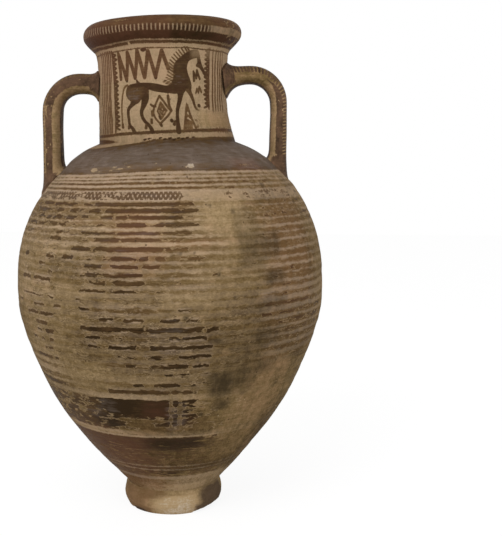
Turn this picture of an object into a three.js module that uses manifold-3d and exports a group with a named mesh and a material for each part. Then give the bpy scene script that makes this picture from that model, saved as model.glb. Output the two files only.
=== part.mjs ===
// A geometric neck-handled amphora: a tall thrown jar with a wide neck and two strap handles.
// Millimetres, +Z up. The origin is on the ground under the middle of the body, and the painted front faces -Y.
// The jar is made as a potter makes it, in sections that are thrown or pulled one by one and luted with slip:
// foot ring, lower body, upper body, neck and lip lie face to face on flat rings, and the handles meet the
// neck and the shoulder along their curves.
import * as THREE from "three";
import { mergeVertices } from "three/addons/utils/BufferGeometryUtils.js";
import Module from "manifold-3d";

const wasm = await Module();
wasm.setup();

// Heights of the thrown sections
const footHeight = 27;
const lowerBodyHeight = 218;
const upperBodyHeight = 154;
const neckHeight = 96;
const lipHeight = 30;

// Outside radii
const footTopRadius = 52;
const bellyRadius = 165.3;
const neckSeatRadius = 73.6;
const neckWaistRadius = 69.2;
const neckTopRadius = 71;

// Walls
const bodyWall = 8;
const neckWall = 8.5;
const floorThickness = 12;

// Foot ring, a little off the body's middle, with a piece broken off its lower edge
const footOffset = 1.4;
const footSwell = 2.7;
const footRestWidth = 8.5;
const footRingWidth = 14;
const footRecessRound = 3;
const footChipHeight = 6;
const footChipDepth = 9;
const footChipAzimuth = THREE.MathUtils.degToRad(66);

// Lip
const lipOverhang = 13.3;
const lipTopWidth = 7;
const lipInnerDrop = 4;

// The neck was set a little askew: its axis moves sideways over the shoulder and the foot of the neck.
const neckLean = 10;
const leanBelowSeat = 49;
const leanAboveSeat = 51;

// Strap handles. Rises are taken from the neck's seat. The landing share is the strap's place on the shoulder:
// 0 at the neck's seat and 1 at the belly.
const strapWidth = 38;
const strapSquareness = 2.5;
const lutingGap = 0.3;
const leftHandle = {
  side: -1,
  thickness: 20.5,
  rootRise: 59,
  archRise: 60.5,
  cornerRadius: 30,
  rootSwell: 4,
  landingShare: 0.588,
};
const rightHandle = {
  side: 1,
  thickness: 18.5,
  rootRise: 67,
  archRise: 72,
  cornerRadius: 30,
  rootSwell: 13,
  landingShare: 0.443,
};
const rootSwellLength = 11;
const landingSwell = 4;
const landingSwellLength = 14;

// How finely the curves are cut
const wheelSegments = 60;
const footRows = 5;
const lowerBodyRows = 12;
const upperBodyRows = 13;
const neckRows = 6;
const lipRows = 10;
const strapRings = 28;
const strapSides = 16;
const cornerSteps = 6;
const cutOverrun = 5;

// Places that follow from the sizes
const floorLevel = footHeight + floorThickness;
const bellyLevel = footHeight + lowerBodyHeight;
const seatLevel = bellyLevel + upperBodyHeight;
const lipLevel = seatLevel + neckHeight;
const topLevel = lipLevel + lipHeight;
const neckBoreRadius = neckWaistRadius - neckWall;
const seatBoreRadius = neckSeatRadius - neckWall;
const lipBoreRadius = neckTopRadius - neckWall;
const neckAxis = leanAt(topLevel);

// Outlines from bottom to top: each pair is a share of the section's height and one of its change of radius.
const footShares = [
  [0, -0.2], [0.12, 0.62], [0.3, 0.97], [0.5, 1], [0.75, 0.6], [0.9, 0.2], [1, 0],
];
const lowerBodyShares = [
  [0, 0], [0.06, 0.094], [0.15, 0.247], [0.243, 0.391], [0.335, 0.524], [0.427, 0.64], [0.518, 0.732],
  [0.61, 0.811], [0.702, 0.882], [0.794, 0.942], [0.885, 0.986], [0.945, 0.998], [1, 1],
];
const upperBodyShares = [
  [0, 0], [0.165, 0.011], [0.296, 0.044], [0.428, 0.109], [0.559, 0.207], [0.691, 0.35], [0.757, 0.449],
  [0.822, 0.551], [0.888, 0.664], [0.954, 0.83], [1, 1],
];
const neckFootShares = [
  [0, 1], [0.09, 0.72], [0.19, 0.38], [0.3, 0.12], [0.45, 0], [0.7, 0],
];
const neckHeadShares = [
  [0.86, 0.1], [0.94, 0.45], [1, 1],
];
const lipShares = [
  [0, 0], [0.1, 0.13], [0.214, 0.39], [0.357, 0.71], [0.5, 0.93], [0.643, 1], [0.786, 0.95], [0.893, 0.81],
  [0.964, 0.62], [1, 0.44],
];

// Corners inside the sections, as shares of the run between two named places
const recessCornerShare = 0.4;
const floorEdgeShare = 0.75;
const boreFootShare = 0.3;
const boreHeadShare = 0.85;
const lipThroatShare = 0.55;
const lipRoundShare = 0.7;
const rootBendShares = { out: 0.45, up: 0.7 };

function between(from, to, share) {
  return from + (to - from) * share;
}

function smoothOutline(shares, rows, place) {
  return new THREE.SplineCurve(shares.map(([up, out]) => place(up, out))).getPoints(rows);
}

function sectionOutline(shares, rows, bottomLevel, height, bottomRadius, topRadius) {
  return smoothOutline(shares, rows, (up, out) =>
    new THREE.Vector2(between(bottomRadius, topRadius, out), bottomLevel + up * height));
}

// The outline moved square to itself, inwards by a wall's thickness or outwards by a negative one
function movedInwards(outline, distance) {
  return outline.map((point, i) => {
    const before = outline[Math.max(i - 1, 0)];
    const after = outline[Math.min(i + 1, outline.length - 1)];
    const along = after.clone().sub(before).normalize();
    return new THREE.Vector2(point.x - along.y * distance, point.y + along.x * distance);
  });
}

function leanAt(level) {
  return -neckLean * THREE.MathUtils.smoothstep(level, seatLevel - leanBelowSeat, seatLevel + leanAboveSeat);
}

// Turns a closed outline of radius and height about the jar's axis, then moves each level by the neck's lean.
function thrown(outline, sideways = 0) {
  const geometry = new THREE.LatheGeometry(outline, wheelSegments).rotateX(Math.PI / 2);
  const position = geometry.getAttribute("position");
  for (let i = 0; i < position.count; i += 1) {
    position.setX(i, position.getX(i) + leanAt(position.getZ(i)) + sideways);
  }
  return geometry;
}

function closed(outline) {
  return [...outline, outline[0].clone()];
}

function solidFrom(geometry) {
  const bare = geometry.index ? geometry.toNonIndexed() : geometry.clone();
  bare.deleteAttribute("normal");
  bare.deleteAttribute("uv");
  const merged = mergeVertices(bare);
  return new wasm.Manifold(new wasm.Mesh({
    numProp: 3,
    vertProperties: merged.getAttribute("position").array,
    triVerts: new Uint32Array(merged.index.array),
  }));
}

function geometryFrom(solid) {
  const mesh = solid.getMesh();
  const geometry = new THREE.BufferGeometry();
  geometry.setAttribute("position", new THREE.BufferAttribute(mesh.vertProperties, 3));
  geometry.setIndex(new THREE.BufferAttribute(mesh.triVerts, 1));
  geometry.computeVertexNormals();
  return geometry;
}

// Outside outlines, shared by the walls and by what is luted to them
const lowerOutline = sectionOutline(
  lowerBodyShares, lowerBodyRows, footHeight, lowerBodyHeight, footTopRadius, bellyRadius,
);
const upperOutline = sectionOutline(
  upperBodyShares, upperBodyRows, bellyLevel, upperBodyHeight, bellyRadius, neckSeatRadius,
);
const neckOutline = smoothOutline([...neckFootShares, ...neckHeadShares], neckRows, (up, out) => {
  const flaredRadius = up < neckHeadShares[0][0] ? neckSeatRadius : neckTopRadius;
  return new THREE.Vector2(between(neckWaistRadius, flaredRadius, out), seatLevel + up * neckHeight);
});

function footRing() {
  const outside = smoothOutline(footShares, footRows, (up, out) =>
    new THREE.Vector2(footTopRadius + footSwell * out, up * footHeight));
  const restInner = outside[0].x - footRestWidth;
  const ringInner = footTopRadius - footRingWidth;
  const ring = thrown(closed([
    ...outside,
    new THREE.Vector2(ringInner, footHeight),
    new THREE.Vector2(ringInner, footRecessRound * 2),
    new THREE.Vector2(between(ringInner, restInner, recessCornerShare), footRecessRound),
    new THREE.Vector2(restInner, 0),
  ]), footOffset);
  return geometryFrom(solidFrom(ring).subtract(footChip()));
}

// What is missing where the foot's edge broke: a block under a plane that slants down into the foot
function footChip() {
  const reach = footTopRadius + footSwell;
  const block = new THREE.BoxGeometry(reach * 2, reach, footHeight);
  block.translate(0, reach / 2, -footHeight / 2);
  block.rotateX(Math.atan2(footChipHeight, footChipDepth));
  block.translate(0, reach - footChipDepth, 0);
  block.rotateZ(Math.PI + footChipAzimuth);
  block.translate(footOffset, 0, 0);
  return solidFrom(block);
}

function lowerBody() {
  const inside = movedInwards(lowerOutline, bodyWall).filter((point) => point.y > floorLevel + bodyWall / 2);
  inside[inside.length - 1].set(bellyRadius - bodyWall, bellyLevel);
  return thrown([
    new THREE.Vector2(0, footHeight),
    ...lowerOutline,
    ...inside.toReversed(),
    new THREE.Vector2(inside[0].x * floorEdgeShare, floorLevel),
    new THREE.Vector2(0, floorLevel),
  ]);
}

function upperBody() {
  const inside = movedInwards(upperOutline, bodyWall).filter((point) => point.x > seatBoreRadius + bodyWall);
  inside[0].set(bellyRadius - bodyWall, bellyLevel);
  return thrown(closed([
    ...upperOutline,
    new THREE.Vector2(seatBoreRadius, seatLevel),
    new THREE.Vector2(seatBoreRadius, seatLevel - bodyWall),
    ...inside.toReversed(),
  ]));
}

function neck() {
  return thrown(closed([
    ...neckOutline,
    new THREE.Vector2(lipBoreRadius, lipLevel),
    new THREE.Vector2(neckBoreRadius, between(seatLevel, lipLevel, boreHeadShare)),
    new THREE.Vector2(neckBoreRadius, between(seatLevel, lipLevel, boreFootShare)),
    new THREE.Vector2(seatBoreRadius, seatLevel),
  ]));
}

function lip() {
  const outside = smoothOutline(lipShares, lipRows, (up, out) =>
    new THREE.Vector2(neckTopRadius + lipOverhang * out, lipLevel + up * lipHeight));
  const topInner = outside[outside.length - 1].x - lipTopWidth;
  return thrown(closed([
    ...outside,
    new THREE.Vector2(topInner, topLevel),
    new THREE.Vector2(between(topInner, lipBoreRadius, lipRoundShare), topLevel - lipInnerDrop),
    new THREE.Vector2(lipBoreRadius, between(lipLevel, topLevel, lipThroatShare)),
    new THREE.Vector2(lipBoreRadius, lipLevel),
  ]));
}

// Height of the shoulder's outside at a distance from the axis
function shoulderLevel(distance) {
  const above = upperOutline.findIndex((point) => point.x < distance);
  const outer = upperOutline[above - 1];
  const inner = upperOutline[above];
  return between(outer.y, inner.y, (outer.x - distance) / (outer.x - inner.x));
}

// The middle line of a strap: out from inside the neck's wall, round the arch and down into the shoulder's wall
function strapLine({ side, thickness, rootRise, archRise, cornerRadius, landingShare }) {
  const rootX = neckAxis + side * (neckWaistRadius - neckWall / 2);
  const rootLevel = seatLevel + rootRise;
  const landing = between(neckSeatRadius, bellyRadius, landingShare);
  const archLevel = seatLevel + archRise;
  const cornerX = side * (landing - cornerRadius);
  const line = [
    new THREE.Vector3(rootX, 0, rootLevel),
    new THREE.Vector3(
      between(rootX, cornerX, rootBendShares.out), 0, between(rootLevel, archLevel, rootBendShares.up),
    ),
  ];
  for (let i = 0; i <= cornerSteps; i += 1) {
    const turn = ((1 - i / cornerSteps) * Math.PI) / 2;
    line.push(new THREE.Vector3(
      cornerX + side * cornerRadius * Math.cos(turn),
      0,
      archLevel - cornerRadius * (1 - Math.sin(turn)),
    ));
  }
  const outerCorner = Math.hypot(landing + (thickness + landingSwell) / 2, (strapWidth + landingSwell) / 2);
  const buried = shoulderLevel(outerCorner) - bodyWall;
  line.push(new THREE.Vector3(side * landing, 0, (archLevel - cornerRadius + buried) / 2));
  line.push(new THREE.Vector3(side * landing, 0, buried));
  return new THREE.CatmullRomCurve3(line, false, "centripetal");
}

// A strap is a rounded oblong section carried along its middle line, wider and thicker at both ends.
function strapHandle(handle) {
  const curve = strapLine(handle);
  const length = curve.getLength();
  const power = 2 / strapSquareness;
  const rounded = (value) => Math.sign(value) * Math.abs(value) ** power;
  const points = [];
  for (let ring = 0; ring <= strapRings; ring += 1) {
    const share = ring / strapRings;
    const centre = curve.getPointAt(share);
    const along = curve.getTangentAt(share);
    const outwards = new THREE.Vector3(along.z, 0, -along.x).multiplyScalar(handle.side);
    const fromNeck = Math.max(share * length - neckWall / 2, 0) / rootSwellLength;
    const fromShoulder = ((1 - share) * length) / landingSwellLength;
    const swell = handle.rootSwell * Math.exp(-fromNeck * fromNeck) + landingSwell * Math.exp(-fromShoulder);
    for (let i = 0; i < strapSides; i += 1) {
      const turn = (i / strapSides) * 2 * Math.PI;
      const out = (rounded(Math.cos(turn)) * (handle.thickness + swell)) / 2;
      const point = centre.clone().addScaledVector(outwards, out);
      point.y = (rounded(Math.sin(turn)) * (strapWidth + swell)) / 2;
      points.push(point);
    }
  }
  const strap = solidFrom(skinned(points, handle.side));
  return geometryFrom(
    strap.subtract(lutingCutter(upperOutline, bellyLevel)).subtract(lutingCutter(neckOutline, seatLevel)),
  );
}

// Joins the rings of points of a strap into one closed surface with flat ends.
function skinned(points, side) {
  const index = [];
  const face = (a, b, c) => index.push(...(side < 0 ? [a, c, b] : [a, b, c]));
  for (let ring = 0; ring < strapRings; ring += 1) {
    for (let i = 0; i < strapSides; i += 1) {
      const here = ring * strapSides + i;
      const beside = ring * strapSides + (i + 1) % strapSides;
      face(here, beside, beside + strapSides);
      face(here, beside + strapSides, here + strapSides);
    }
  }
  const last = strapRings * strapSides;
  for (let i = 1; i < strapSides - 1; i += 1) {
    face(0, i + 1, i);
    face(last, last + i, last + i + 1);
  }
  const geometry = new THREE.BufferGeometry().setFromPoints(points);
  geometry.setIndex(index);
  return geometry;
}

// A filled copy of a section, larger by the luting gap, that trims a handle to the wall it meets
function lutingCutter(outline, bottomLevel) {
  const outer = movedInwards(outline, -lutingGap);
  return solidFrom(thrown([
    new THREE.Vector2(0, bottomLevel - cutOverrun),
    new THREE.Vector2(outer[0].x, bottomLevel - cutOverrun),
    ...outer,
    new THREE.Vector2(0, outer[outer.length - 1].y),
  ]));
}

const clay = { color: 0x8d7454, roughness: 0.82, metalness: 0 };
const glaze = { color: 0x4b382d, roughness: 0.6, metalness: 0 };

function piece(name, geometry, finish) {
  const mesh = new THREE.Mesh(geometry, new THREE.MeshStandardMaterial(finish));
  mesh.name = name;
  return mesh;
}

const amphora = new THREE.Group();
amphora.add(
  piece("foot_ring", footRing(), clay),
  piece("lower_body", lowerBody(), clay),
  piece("upper_body", upperBody(), clay),
  piece("neck", neck(), clay),
  piece("lip", lip(), glaze),
  piece("left_handle", strapHandle(leftHandle), glaze),
  piece("right_handle", strapHandle(rightHandle), glaze),
);

export default amphora;
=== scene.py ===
"""Looks of a geometric neck-handled amphora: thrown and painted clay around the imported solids."""

import math

import bpy
import numpy as np
from mathutils import Matrix, Vector


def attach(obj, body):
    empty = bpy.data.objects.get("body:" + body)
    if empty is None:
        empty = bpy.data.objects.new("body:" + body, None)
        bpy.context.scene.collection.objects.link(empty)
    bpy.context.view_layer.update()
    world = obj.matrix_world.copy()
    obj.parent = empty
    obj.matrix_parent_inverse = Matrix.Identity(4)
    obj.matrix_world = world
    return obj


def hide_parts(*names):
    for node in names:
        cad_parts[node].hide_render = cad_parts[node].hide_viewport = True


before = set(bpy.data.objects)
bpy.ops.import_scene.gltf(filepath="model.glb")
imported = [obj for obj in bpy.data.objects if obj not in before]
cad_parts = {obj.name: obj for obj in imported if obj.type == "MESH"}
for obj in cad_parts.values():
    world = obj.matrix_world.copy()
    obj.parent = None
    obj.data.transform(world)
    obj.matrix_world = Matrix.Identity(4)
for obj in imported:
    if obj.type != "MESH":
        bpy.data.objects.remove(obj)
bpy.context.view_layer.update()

MM = 0.001

# Sizes of the solids, in millimetres
FOOT_HEIGHT = 27
BELLY_LEVEL = 245
SEAT_LEVEL = 399
LIP_LEVEL = 495
TOP_LEVEL = 525
FOOT_RADIUS = 52
BELLY_RADIUS = 165.3
SEAT_RADIUS = 73.6
WAIST_RADIUS = 69.2
NECK_TOP_RADIUS = 71
BODY_WALL = 8
NECK_WALL = 8.5
FLOOR_LEVEL = 39
FOOT_OFFSET = 1.4
LEAN = 10
LIP_OVERHANG = 13.3
FOOT_SWELL = 2.7
REST_WIDTH = 8.5
FOOT_RECESS = 6
RECESS_RADIUS = 38

# Outlines from bottom to top: shares of a section's height and of its change of radius
FOOT_SHARES = [(0, -0.9), (0.12, 0.1), (0.3, 0.75), (0.5, 1), (0.75, 0.7), (0.9, 0.25), (1, 0)]
LOWER_SHARES = [
    (0, 0), (0.004, 0.002), (0.015, 0.017), (0.06, 0.094), (0.15, 0.247), (0.243, 0.391), (0.335, 0.524),
    (0.427, 0.64), (0.518, 0.732), (0.61, 0.811), (0.702, 0.882), (0.794, 0.942), (0.885, 0.986),
    (0.945, 0.998), (1, 1),
]
UPPER_SHARES = [
    (0, 0), (0.165, 0.011), (0.296, 0.044), (0.428, 0.109), (0.559, 0.207), (0.691, 0.35), (0.757, 0.449),
    (0.822, 0.551), (0.888, 0.664), (0.954, 0.83), (1, 1),
]
NECK_FOOT_SHARES = [(0, 1), (0.09, 0.72), (0.19, 0.38), (0.3, 0.12), (0.45, 0), (0.7, 0)]
NECK_HEAD_SHARES = [(0.86, 0.1), (0.94, 0.45), (1, 1)]
LIP_SHARES = [
    (0, 0), (0.1, 0.13), (0.214, 0.39), (0.357, 0.71), (0.5, 0.93), (0.643, 1), (0.786, 0.95), (0.893, 0.81),
    (0.964, 0.62), (1, 0.44),
]


def srgb(red, green, blue):
    """A colour as it is seen, 0 to 255, turned into the linear light that a shader takes."""
    shares = [value / 255 for value in (red, green, blue)]
    return (*(v / 12.92 if v <= 0.04045 else ((v + 0.055) / 1.055) ** 2.4 for v in shares), 1.0)


# Node trees

def reckoning(operation, swapped=False):
    """A method that lays down a Math node for a strand and another value."""
    def laid(self, other):
        return self.bench.maths(operation, *((other, self) if swapped else (self, other)))
    return laid


class Strand:
    """A socket of a node tree that can be reckoned with like a number."""

    __add__ = __radd__ = reckoning("ADD")
    __sub__ = reckoning("SUBTRACT")
    __rsub__ = reckoning("SUBTRACT", swapped=True)
    __mul__ = __rmul__ = reckoning("MULTIPLY")
    __truediv__ = reckoning("DIVIDE")
    __rtruediv__ = reckoning("DIVIDE", swapped=True)
    larger = reckoning("MAXIMUM")
    smaller = reckoning("MINIMUM")
    above = reckoning("GREATER_THAN")
    below = reckoning("LESS_THAN")

    def __init__(self, bench, socket):
        self.bench = bench
        self.socket = socket

    def __abs__(self):
        return self.bench.maths("ABSOLUTE", self)

    def beside(self, output):
        """Another output of the same node."""
        return Strand(self.bench, self.socket.node.outputs[output])

    def split(self):
        """The three numbers of a vector."""
        first = self.bench.node("ShaderNodeSeparateXYZ", {0: self})
        return first, first.beside(1), first.beside(2)

    def beat(self):
        """Swings from 0.5 at whole numbers to 0 halfway between them."""
        return abs(self.bench.maths("FRACT", self) - 0.5)

    def step(self, start, end, low=0.0, high=1.0, way="SMOOTHSTEP"):
        """Rises smoothly from low at start to high at end."""
        return self.bench.node("ShaderNodeMapRange", {
            "Value": self, "From Min": start, "From Max": end, "To Min": low, "To Max": high,
        }, interpolation_type=way)

    def spread(self, start, end):
        """Rises evenly from 0 at start to 1 at end, and no further."""
        return self.step(start, end, way="LINEAR")

    def mix(self, *colours):
        """The first colour where this share is 0 and the second one where it is 1."""
        one, other = (srgb(*colour) if isinstance(colour, tuple) else colour for colour in colours)
        return self.bench.node("ShaderNodeMix", {0: self, 6: one, 7: other}, 2, data_type="RGBA")

    def scaled(self, across, up, shift=(0, 0, 0)):
        """A place counted in steps of so many millimetres across and up the pot."""
        return self.bench.node("ShaderNodeVectorMath", {
            0: self, 1: (1 / across, 1 / across, 1 / up), 2: shift,
        }, operation="MULTIPLY_ADD")

    def grain(self, across, up, detail, roughness, seed, distortion=0.0):
        """Noise about zero, with grains so many millimetres across and up the pot."""
        return self.bench.node("ShaderNodeTexNoise", {
            "Vector": self.scaled(across, up, (seed * 7.31, seed * 3.17, seed * 11.7)), "Scale": 1.0,
            "Detail": detail, "Roughness": roughness, "Distortion": distortion,
        }) - 0.5

    def cells(self):
        """Distance to the middle of the nearest cell, and a number that each cell draws for itself."""
        distance = self.bench.node("ShaderNodeTexVoronoi", {"Vector": self, "Scale": 1.0})
        return distance, distance.beside(1).split()[0]


class Bench:
    """A node tree, and the one way in which its nodes are laid down and joined."""

    def __init__(self, tree):
        self.tree = tree

    def node(self, kind, sockets=None, output=0, **settings):
        made = self.tree.nodes.new(kind)
        for name, value in settings.items():
            setattr(made, name, value)
        self.join(made, sockets or {})
        return Strand(self, made.outputs[output] if len(made.outputs) else None)

    def join(self, made, sockets):
        for name, value in sockets.items():
            if isinstance(value, Strand):
                self.tree.links.new(value.socket, made.inputs[name])
            else:
                made.inputs[name].default_value = value

    def maths(self, operation, *values):
        return self.node("ShaderNodeMath", dict(enumerate(values)), operation=operation)

    def attribute(self, name):
        """A vector kept on the piece's own points."""
        return self.node("ShaderNodeAttribute", None, 1, attribute_name=name)


# Shapes

def bent_run(start, end, leaving, reaching, share):
    """Points of a bend from start to end that sets off and arrives in the given directions."""
    return (
        (2 * start - 2 * end + leaving + reaching) * share ** 3
        + (3 * end - 3 * start - 2 * leaving - reaching) * share ** 2
        + leaving * share + start
    )


def drawn_through(points, steps):
    """A smooth line through the points, as the solids' outlines are drawn."""
    points = np.asarray(points, float)
    last = len(points) - 1
    place = np.linspace(0, last, steps + 1)
    here = np.minimum(place.astype(int), last - 1)
    before, start, end, after = (points[np.clip(here + i, 0, last)] for i in (-1, 0, 1, 2))
    return bent_run(start, end, (end - before) / 2, (after - start) / 2, (place - here)[:, None])


def section(shares, steps, bottom, height, low_radius, high_radius):
    return drawn_through(
        [(low_radius + (high_radius - low_radius) * out, bottom + up * height) for up, out in shares], steps,
    )


def sideways(line):
    """Unit steps square to a line, to its right."""
    along = np.gradient(line, axis=0)
    along /= np.linalg.norm(along, axis=1)[:, None]
    return np.stack([along[:, 1], -along[:, 0]], 1)


def rounded_corner(before, corner, after, radius):
    """The points of a small round that takes the place of a corner."""
    before, corner, after = (np.array(p, float) for p in (before, corner, after))
    start, end = (corner + (p - corner) / np.linalg.norm(p - corner) * radius for p in (before, after))
    share = np.linspace(0, 1, 5)[:, None]
    return start * (1 - share) ** 2 + corner * 2 * share * (1 - share) + end * share ** 2


def between(start, end, steps):
    """Points strictly between two corners."""
    share = np.linspace(0, 1, steps + 2)[1:-1, None]
    return np.array(start, float) * (1 - share) + np.array(end, float) * share


def outline_rows(*runs):
    """Joins runs of (radius, level) points. Each run says how much of the wheel's relief it takes."""
    runs = [(np.atleast_2d(run), relief) for run, relief in runs]
    points = np.concatenate([run for run, _ in runs])
    return points, np.concatenate([np.full(len(run), relief, float) for run, relief in runs])


def foot_outline():
    outside = section(FOOT_SHARES, 40, 0, FOOT_HEIGHT, FOOT_RADIUS, FOOT_RADIUS + FOOT_SWELL)
    rest = (outside[0][0] - REST_WIDTH, 0)
    top, recess = (RECESS_RADIUS, FOOT_HEIGHT), (RECESS_RADIUS, FOOT_RECESS)
    bottom = rounded_corner(rest, outside[0], outside[3], 1.2)
    inner = rounded_corner((RECESS_RADIUS + 1.5, FOOT_RECESS / 2), rest, outside[0], 1.5)
    return outline_rows(
        (bottom, 0.5), (outside[3:], 1), (top, 0), (between(top, recess, 6), 0.6), (recess, 0.6),
        (inner, 0.5), (between(inner[-1], bottom[0], 4), 0.5), (bottom[0], 0.5),
    )


LOWER_OUTLINE = section(LOWER_SHARES, 150, FOOT_HEIGHT, BELLY_LEVEL - FOOT_HEIGHT, FOOT_RADIUS, BELLY_RADIUS)
UPPER_OUTLINE = section(UPPER_SHARES, 120, BELLY_LEVEL, SEAT_LEVEL - BELLY_LEVEL, BELLY_RADIUS, SEAT_RADIUS)
INNER_BELLY = (BELLY_RADIUS - BODY_WALL, BELLY_LEVEL)


def lower_outline():
    inside = LOWER_OUTLINE[::5] - sideways(LOWER_OUTLINE[::5]) * BODY_WALL
    inside = inside[inside[:, 1] > FLOOR_LEVEL + BODY_WALL / 2]
    inside[-1] = INNER_BELLY
    return outline_rows(
        ((0, FOOT_HEIGHT), 0), (LOWER_OUTLINE, 1), (inside[::-1], 0.7),
        ((inside[0][0] * 0.75, FLOOR_LEVEL), 0.5), ((0, FLOOR_LEVEL), 0),
    )


def upper_outline():
    bore = SEAT_RADIUS - NECK_WALL
    inside = UPPER_OUTLINE[::4] - sideways(UPPER_OUTLINE[::4]) * BODY_WALL
    inside = inside[inside[:, 0] > bore + BODY_WALL]
    inside[0] = INNER_BELLY
    return outline_rows(
        (UPPER_OUTLINE, 1), ((bore, SEAT_LEVEL), 0.5), ((bore, SEAT_LEVEL - BODY_WALL), 0.5),
        (inside[::-1], 0.7), (UPPER_OUTLINE[0], 1),
    )


def neck_outline():
    height = LIP_LEVEL - SEAT_LEVEL
    outside = drawn_through([
        (WAIST_RADIUS + (end - WAIST_RADIUS) * out, SEAT_LEVEL + up * height)
        for end, shares in ((SEAT_RADIUS, NECK_FOOT_SHARES), (NECK_TOP_RADIUS, NECK_HEAD_SHARES))
        for up, out in shares
    ], 134)
    high, low = ((WAIST_RADIUS - NECK_WALL, SEAT_LEVEL + share * height) for share in (0.85, 0.3))
    return outline_rows(
        (outside, 1), ((NECK_TOP_RADIUS - NECK_WALL, LIP_LEVEL), 0.5), (high, 0.7),
        (between(high, low, 3), 0.7), (low, 0.7), ((SEAT_RADIUS - NECK_WALL, SEAT_LEVEL), 0.5),
        (outside[0], 1),
    )


def lip_outline():
    height = TOP_LEVEL - LIP_LEVEL
    outside = section(LIP_SHARES, 60, LIP_LEVEL, height, NECK_TOP_RADIUS, NECK_TOP_RADIUS + LIP_OVERHANG)
    bore = NECK_TOP_RADIUS - NECK_WALL
    top = (outside[-1][0] - 7, TOP_LEVEL)
    shoulder = (top[0] + (bore - top[0]) * 0.7, TOP_LEVEL - 4)
    throat = (bore, LIP_LEVEL + 0.55 * height)
    return outline_rows(
        (outside[:-2], 1), (rounded_corner(outside[-3], outside[-1], top, 1.3), 1),
        (rounded_corner(outside[-1], top, shoulder, 2), 0.8), (rounded_corner(top, shoulder, throat, 2), 0.7),
        (throat, 0.7), ((bore, LIP_LEVEL), 0.5), (outside[0], 1),
    )


WHEEL_SIZES = {
    "Ridge Depth": 0.35 * MM, "Ridge Pitch": 9 * MM, "Dent Depth": 0.9 * MM, "Dent Size": 85 * MM,
    "Scuff Depth": 0.45 * MM, "Scuff Size": 11 * MM, "Lean": LEAN * MM, "Lean Start": 350 * MM,
    "Lean End": 450 * MM, "Shoulder Slant": 0.022, "Slant Start": 300 * MM, "Slant End": 385 * MM,
    "Mouth Slant": 0.024, "Mouth Reach": 84.3 * MM, "Sideways": 0.0, "Seed": 4.0,
}


def potters_wheel():
    """A tree that turns an outline of radius and level about the axis and adds the marks of the making."""
    tree = bpy.data.node_groups.new("potters_wheel", "GeometryNodeTree")
    for name, kind, value in [
        ("Outline", "Geometry", None), ("Segments", "Int", 400), ("Rows", "Int", 10),
        *((name, "Float", value) for name, value in WHEEL_SIZES.items()), ("Clay", "Material", None),
    ]:
        socket = tree.interface.new_socket(name, in_out="INPUT", socket_type="NodeSocket" + kind)
        if value is not None:
            socket.default_value = value
    tree.interface.new_socket("Piece", in_out="OUTPUT", socket_type="NodeSocketGeometry")
    bench = Bench(tree)
    size = bench.node("NodeGroupInput").beside
    place = bench.node("GeometryNodeInputPosition")
    relief = bench.node("GeometryNodeInputNamedAttribute", {"Name": "relief"}, data_type="FLOAT")

    def vector(*numbers):
        return bench.node("ShaderNodeCombineXYZ", dict(enumerate(numbers)))

    across, up, _ = place.split()
    turn = across * (2 * math.pi)
    row = bench.node("FunctionNodeFloatToInt", {0: (up + 0.5) * (size("Rows") - 1)}, rounding_mode="ROUND")

    def on_row(kind, value):
        return bench.node("GeometryNodeSampleIndex", {
            "Geometry": size("Outline"), "Value": value, "Index": row,
        }, data_type=kind)

    radius, _, level = on_row("FLOAT_VECTOR", place).split()
    thrown = vector(radius * bench.maths("SINE", turn), radius * bench.maths("COSINE", turn) * -1, level)
    sheet = bench.node("GeometryNodeMeshGrid", {
        "Size X": 1.0, "Size Y": 1.0, "Vertices X": size("Segments") + 1, "Vertices Y": size("Rows"),
    })
    taken = on_row("FLOAT", relief)
    for kind, name, value in (("FLOAT_VECTOR", "thrown", thrown), ("FLOAT", "relief", taken)):
        sheet = bench.node("GeometryNodeStoreNamedAttribute", {
            "Geometry": sheet, "Name": name, "Value": value,
        }, data_type=kind)
    bent = bench.node("GeometryNodeSetPosition", {"Geometry": sheet, "Position": thrown})

    def noise(at, seed, detail=1.0):
        return bench.node("ShaderNodeTexNoise", {
            "Vector": at, "W": seed, "Scale": 1.0, "Detail": detail,
        }, noise_dimensions="4D")

    x, y, z = place.split()
    scuffs = vector(x / size("Scuff Size") * 0.45, y / size("Scuff Size") * 0.45, z / size("Scuff Size"))
    dents = bench.node("ShaderNodeVectorMath", {0: place, "Scale": 1 / size("Dent Size")}, operation="SCALE")
    ridge = noise(vector(x * 4, y * 4, z / size("Ridge Pitch")), size("Seed")) * size("Ridge Depth")
    dent = noise(dents, size("Seed") + 3) * size("Dent Depth")
    scuff = noise(scuffs, size("Seed") + 8, 3.0).step(0.42, 0.66) * size("Scuff Depth")
    radial = bench.maths("SQRT", x * x + y * y)
    shrink = 1 - (ridge + dent + scuff) * relief / radial.larger(1 * MM)
    lean = z.step(size("Lean Start"), size("Lean End")) * size("Lean")
    to_mouth = z.step(size("Lean Start"), LIP_LEVEL * MM)
    shoulder_slant = size("Shoulder Slant") * z.step(size("Slant Start"), size("Slant End"))
    rise = x * (shoulder_slant + size("Mouth Slant") * to_mouth)
    drop = to_mouth * size("Mouth Reach") * (size("Shoulder Slant") + size("Mouth Slant"))
    moved = vector(x * shrink - lean + size("Sideways"), y * shrink, z + rise - drop)
    bent = bench.node("GeometryNodeSetPosition", {"Geometry": bent, "Position": moved})
    closed = bench.node("GeometryNodeMergeByDistance", {"Geometry": bent, "Distance": 2e-6})
    whole = bench.node("GeometryNodeRealizeInstances", {0: closed})
    clad = bench.node("GeometryNodeSetMaterial", {"Geometry": whole, "Material": size("Clay")})
    bench.node("NodeGroupOutput", {0: clad})
    return tree


def placed(name, data):
    """A new object of the scene."""
    thing = bpy.data.objects.new(name, data)
    bpy.context.scene.collection.objects.link(thing)
    return thing


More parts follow.
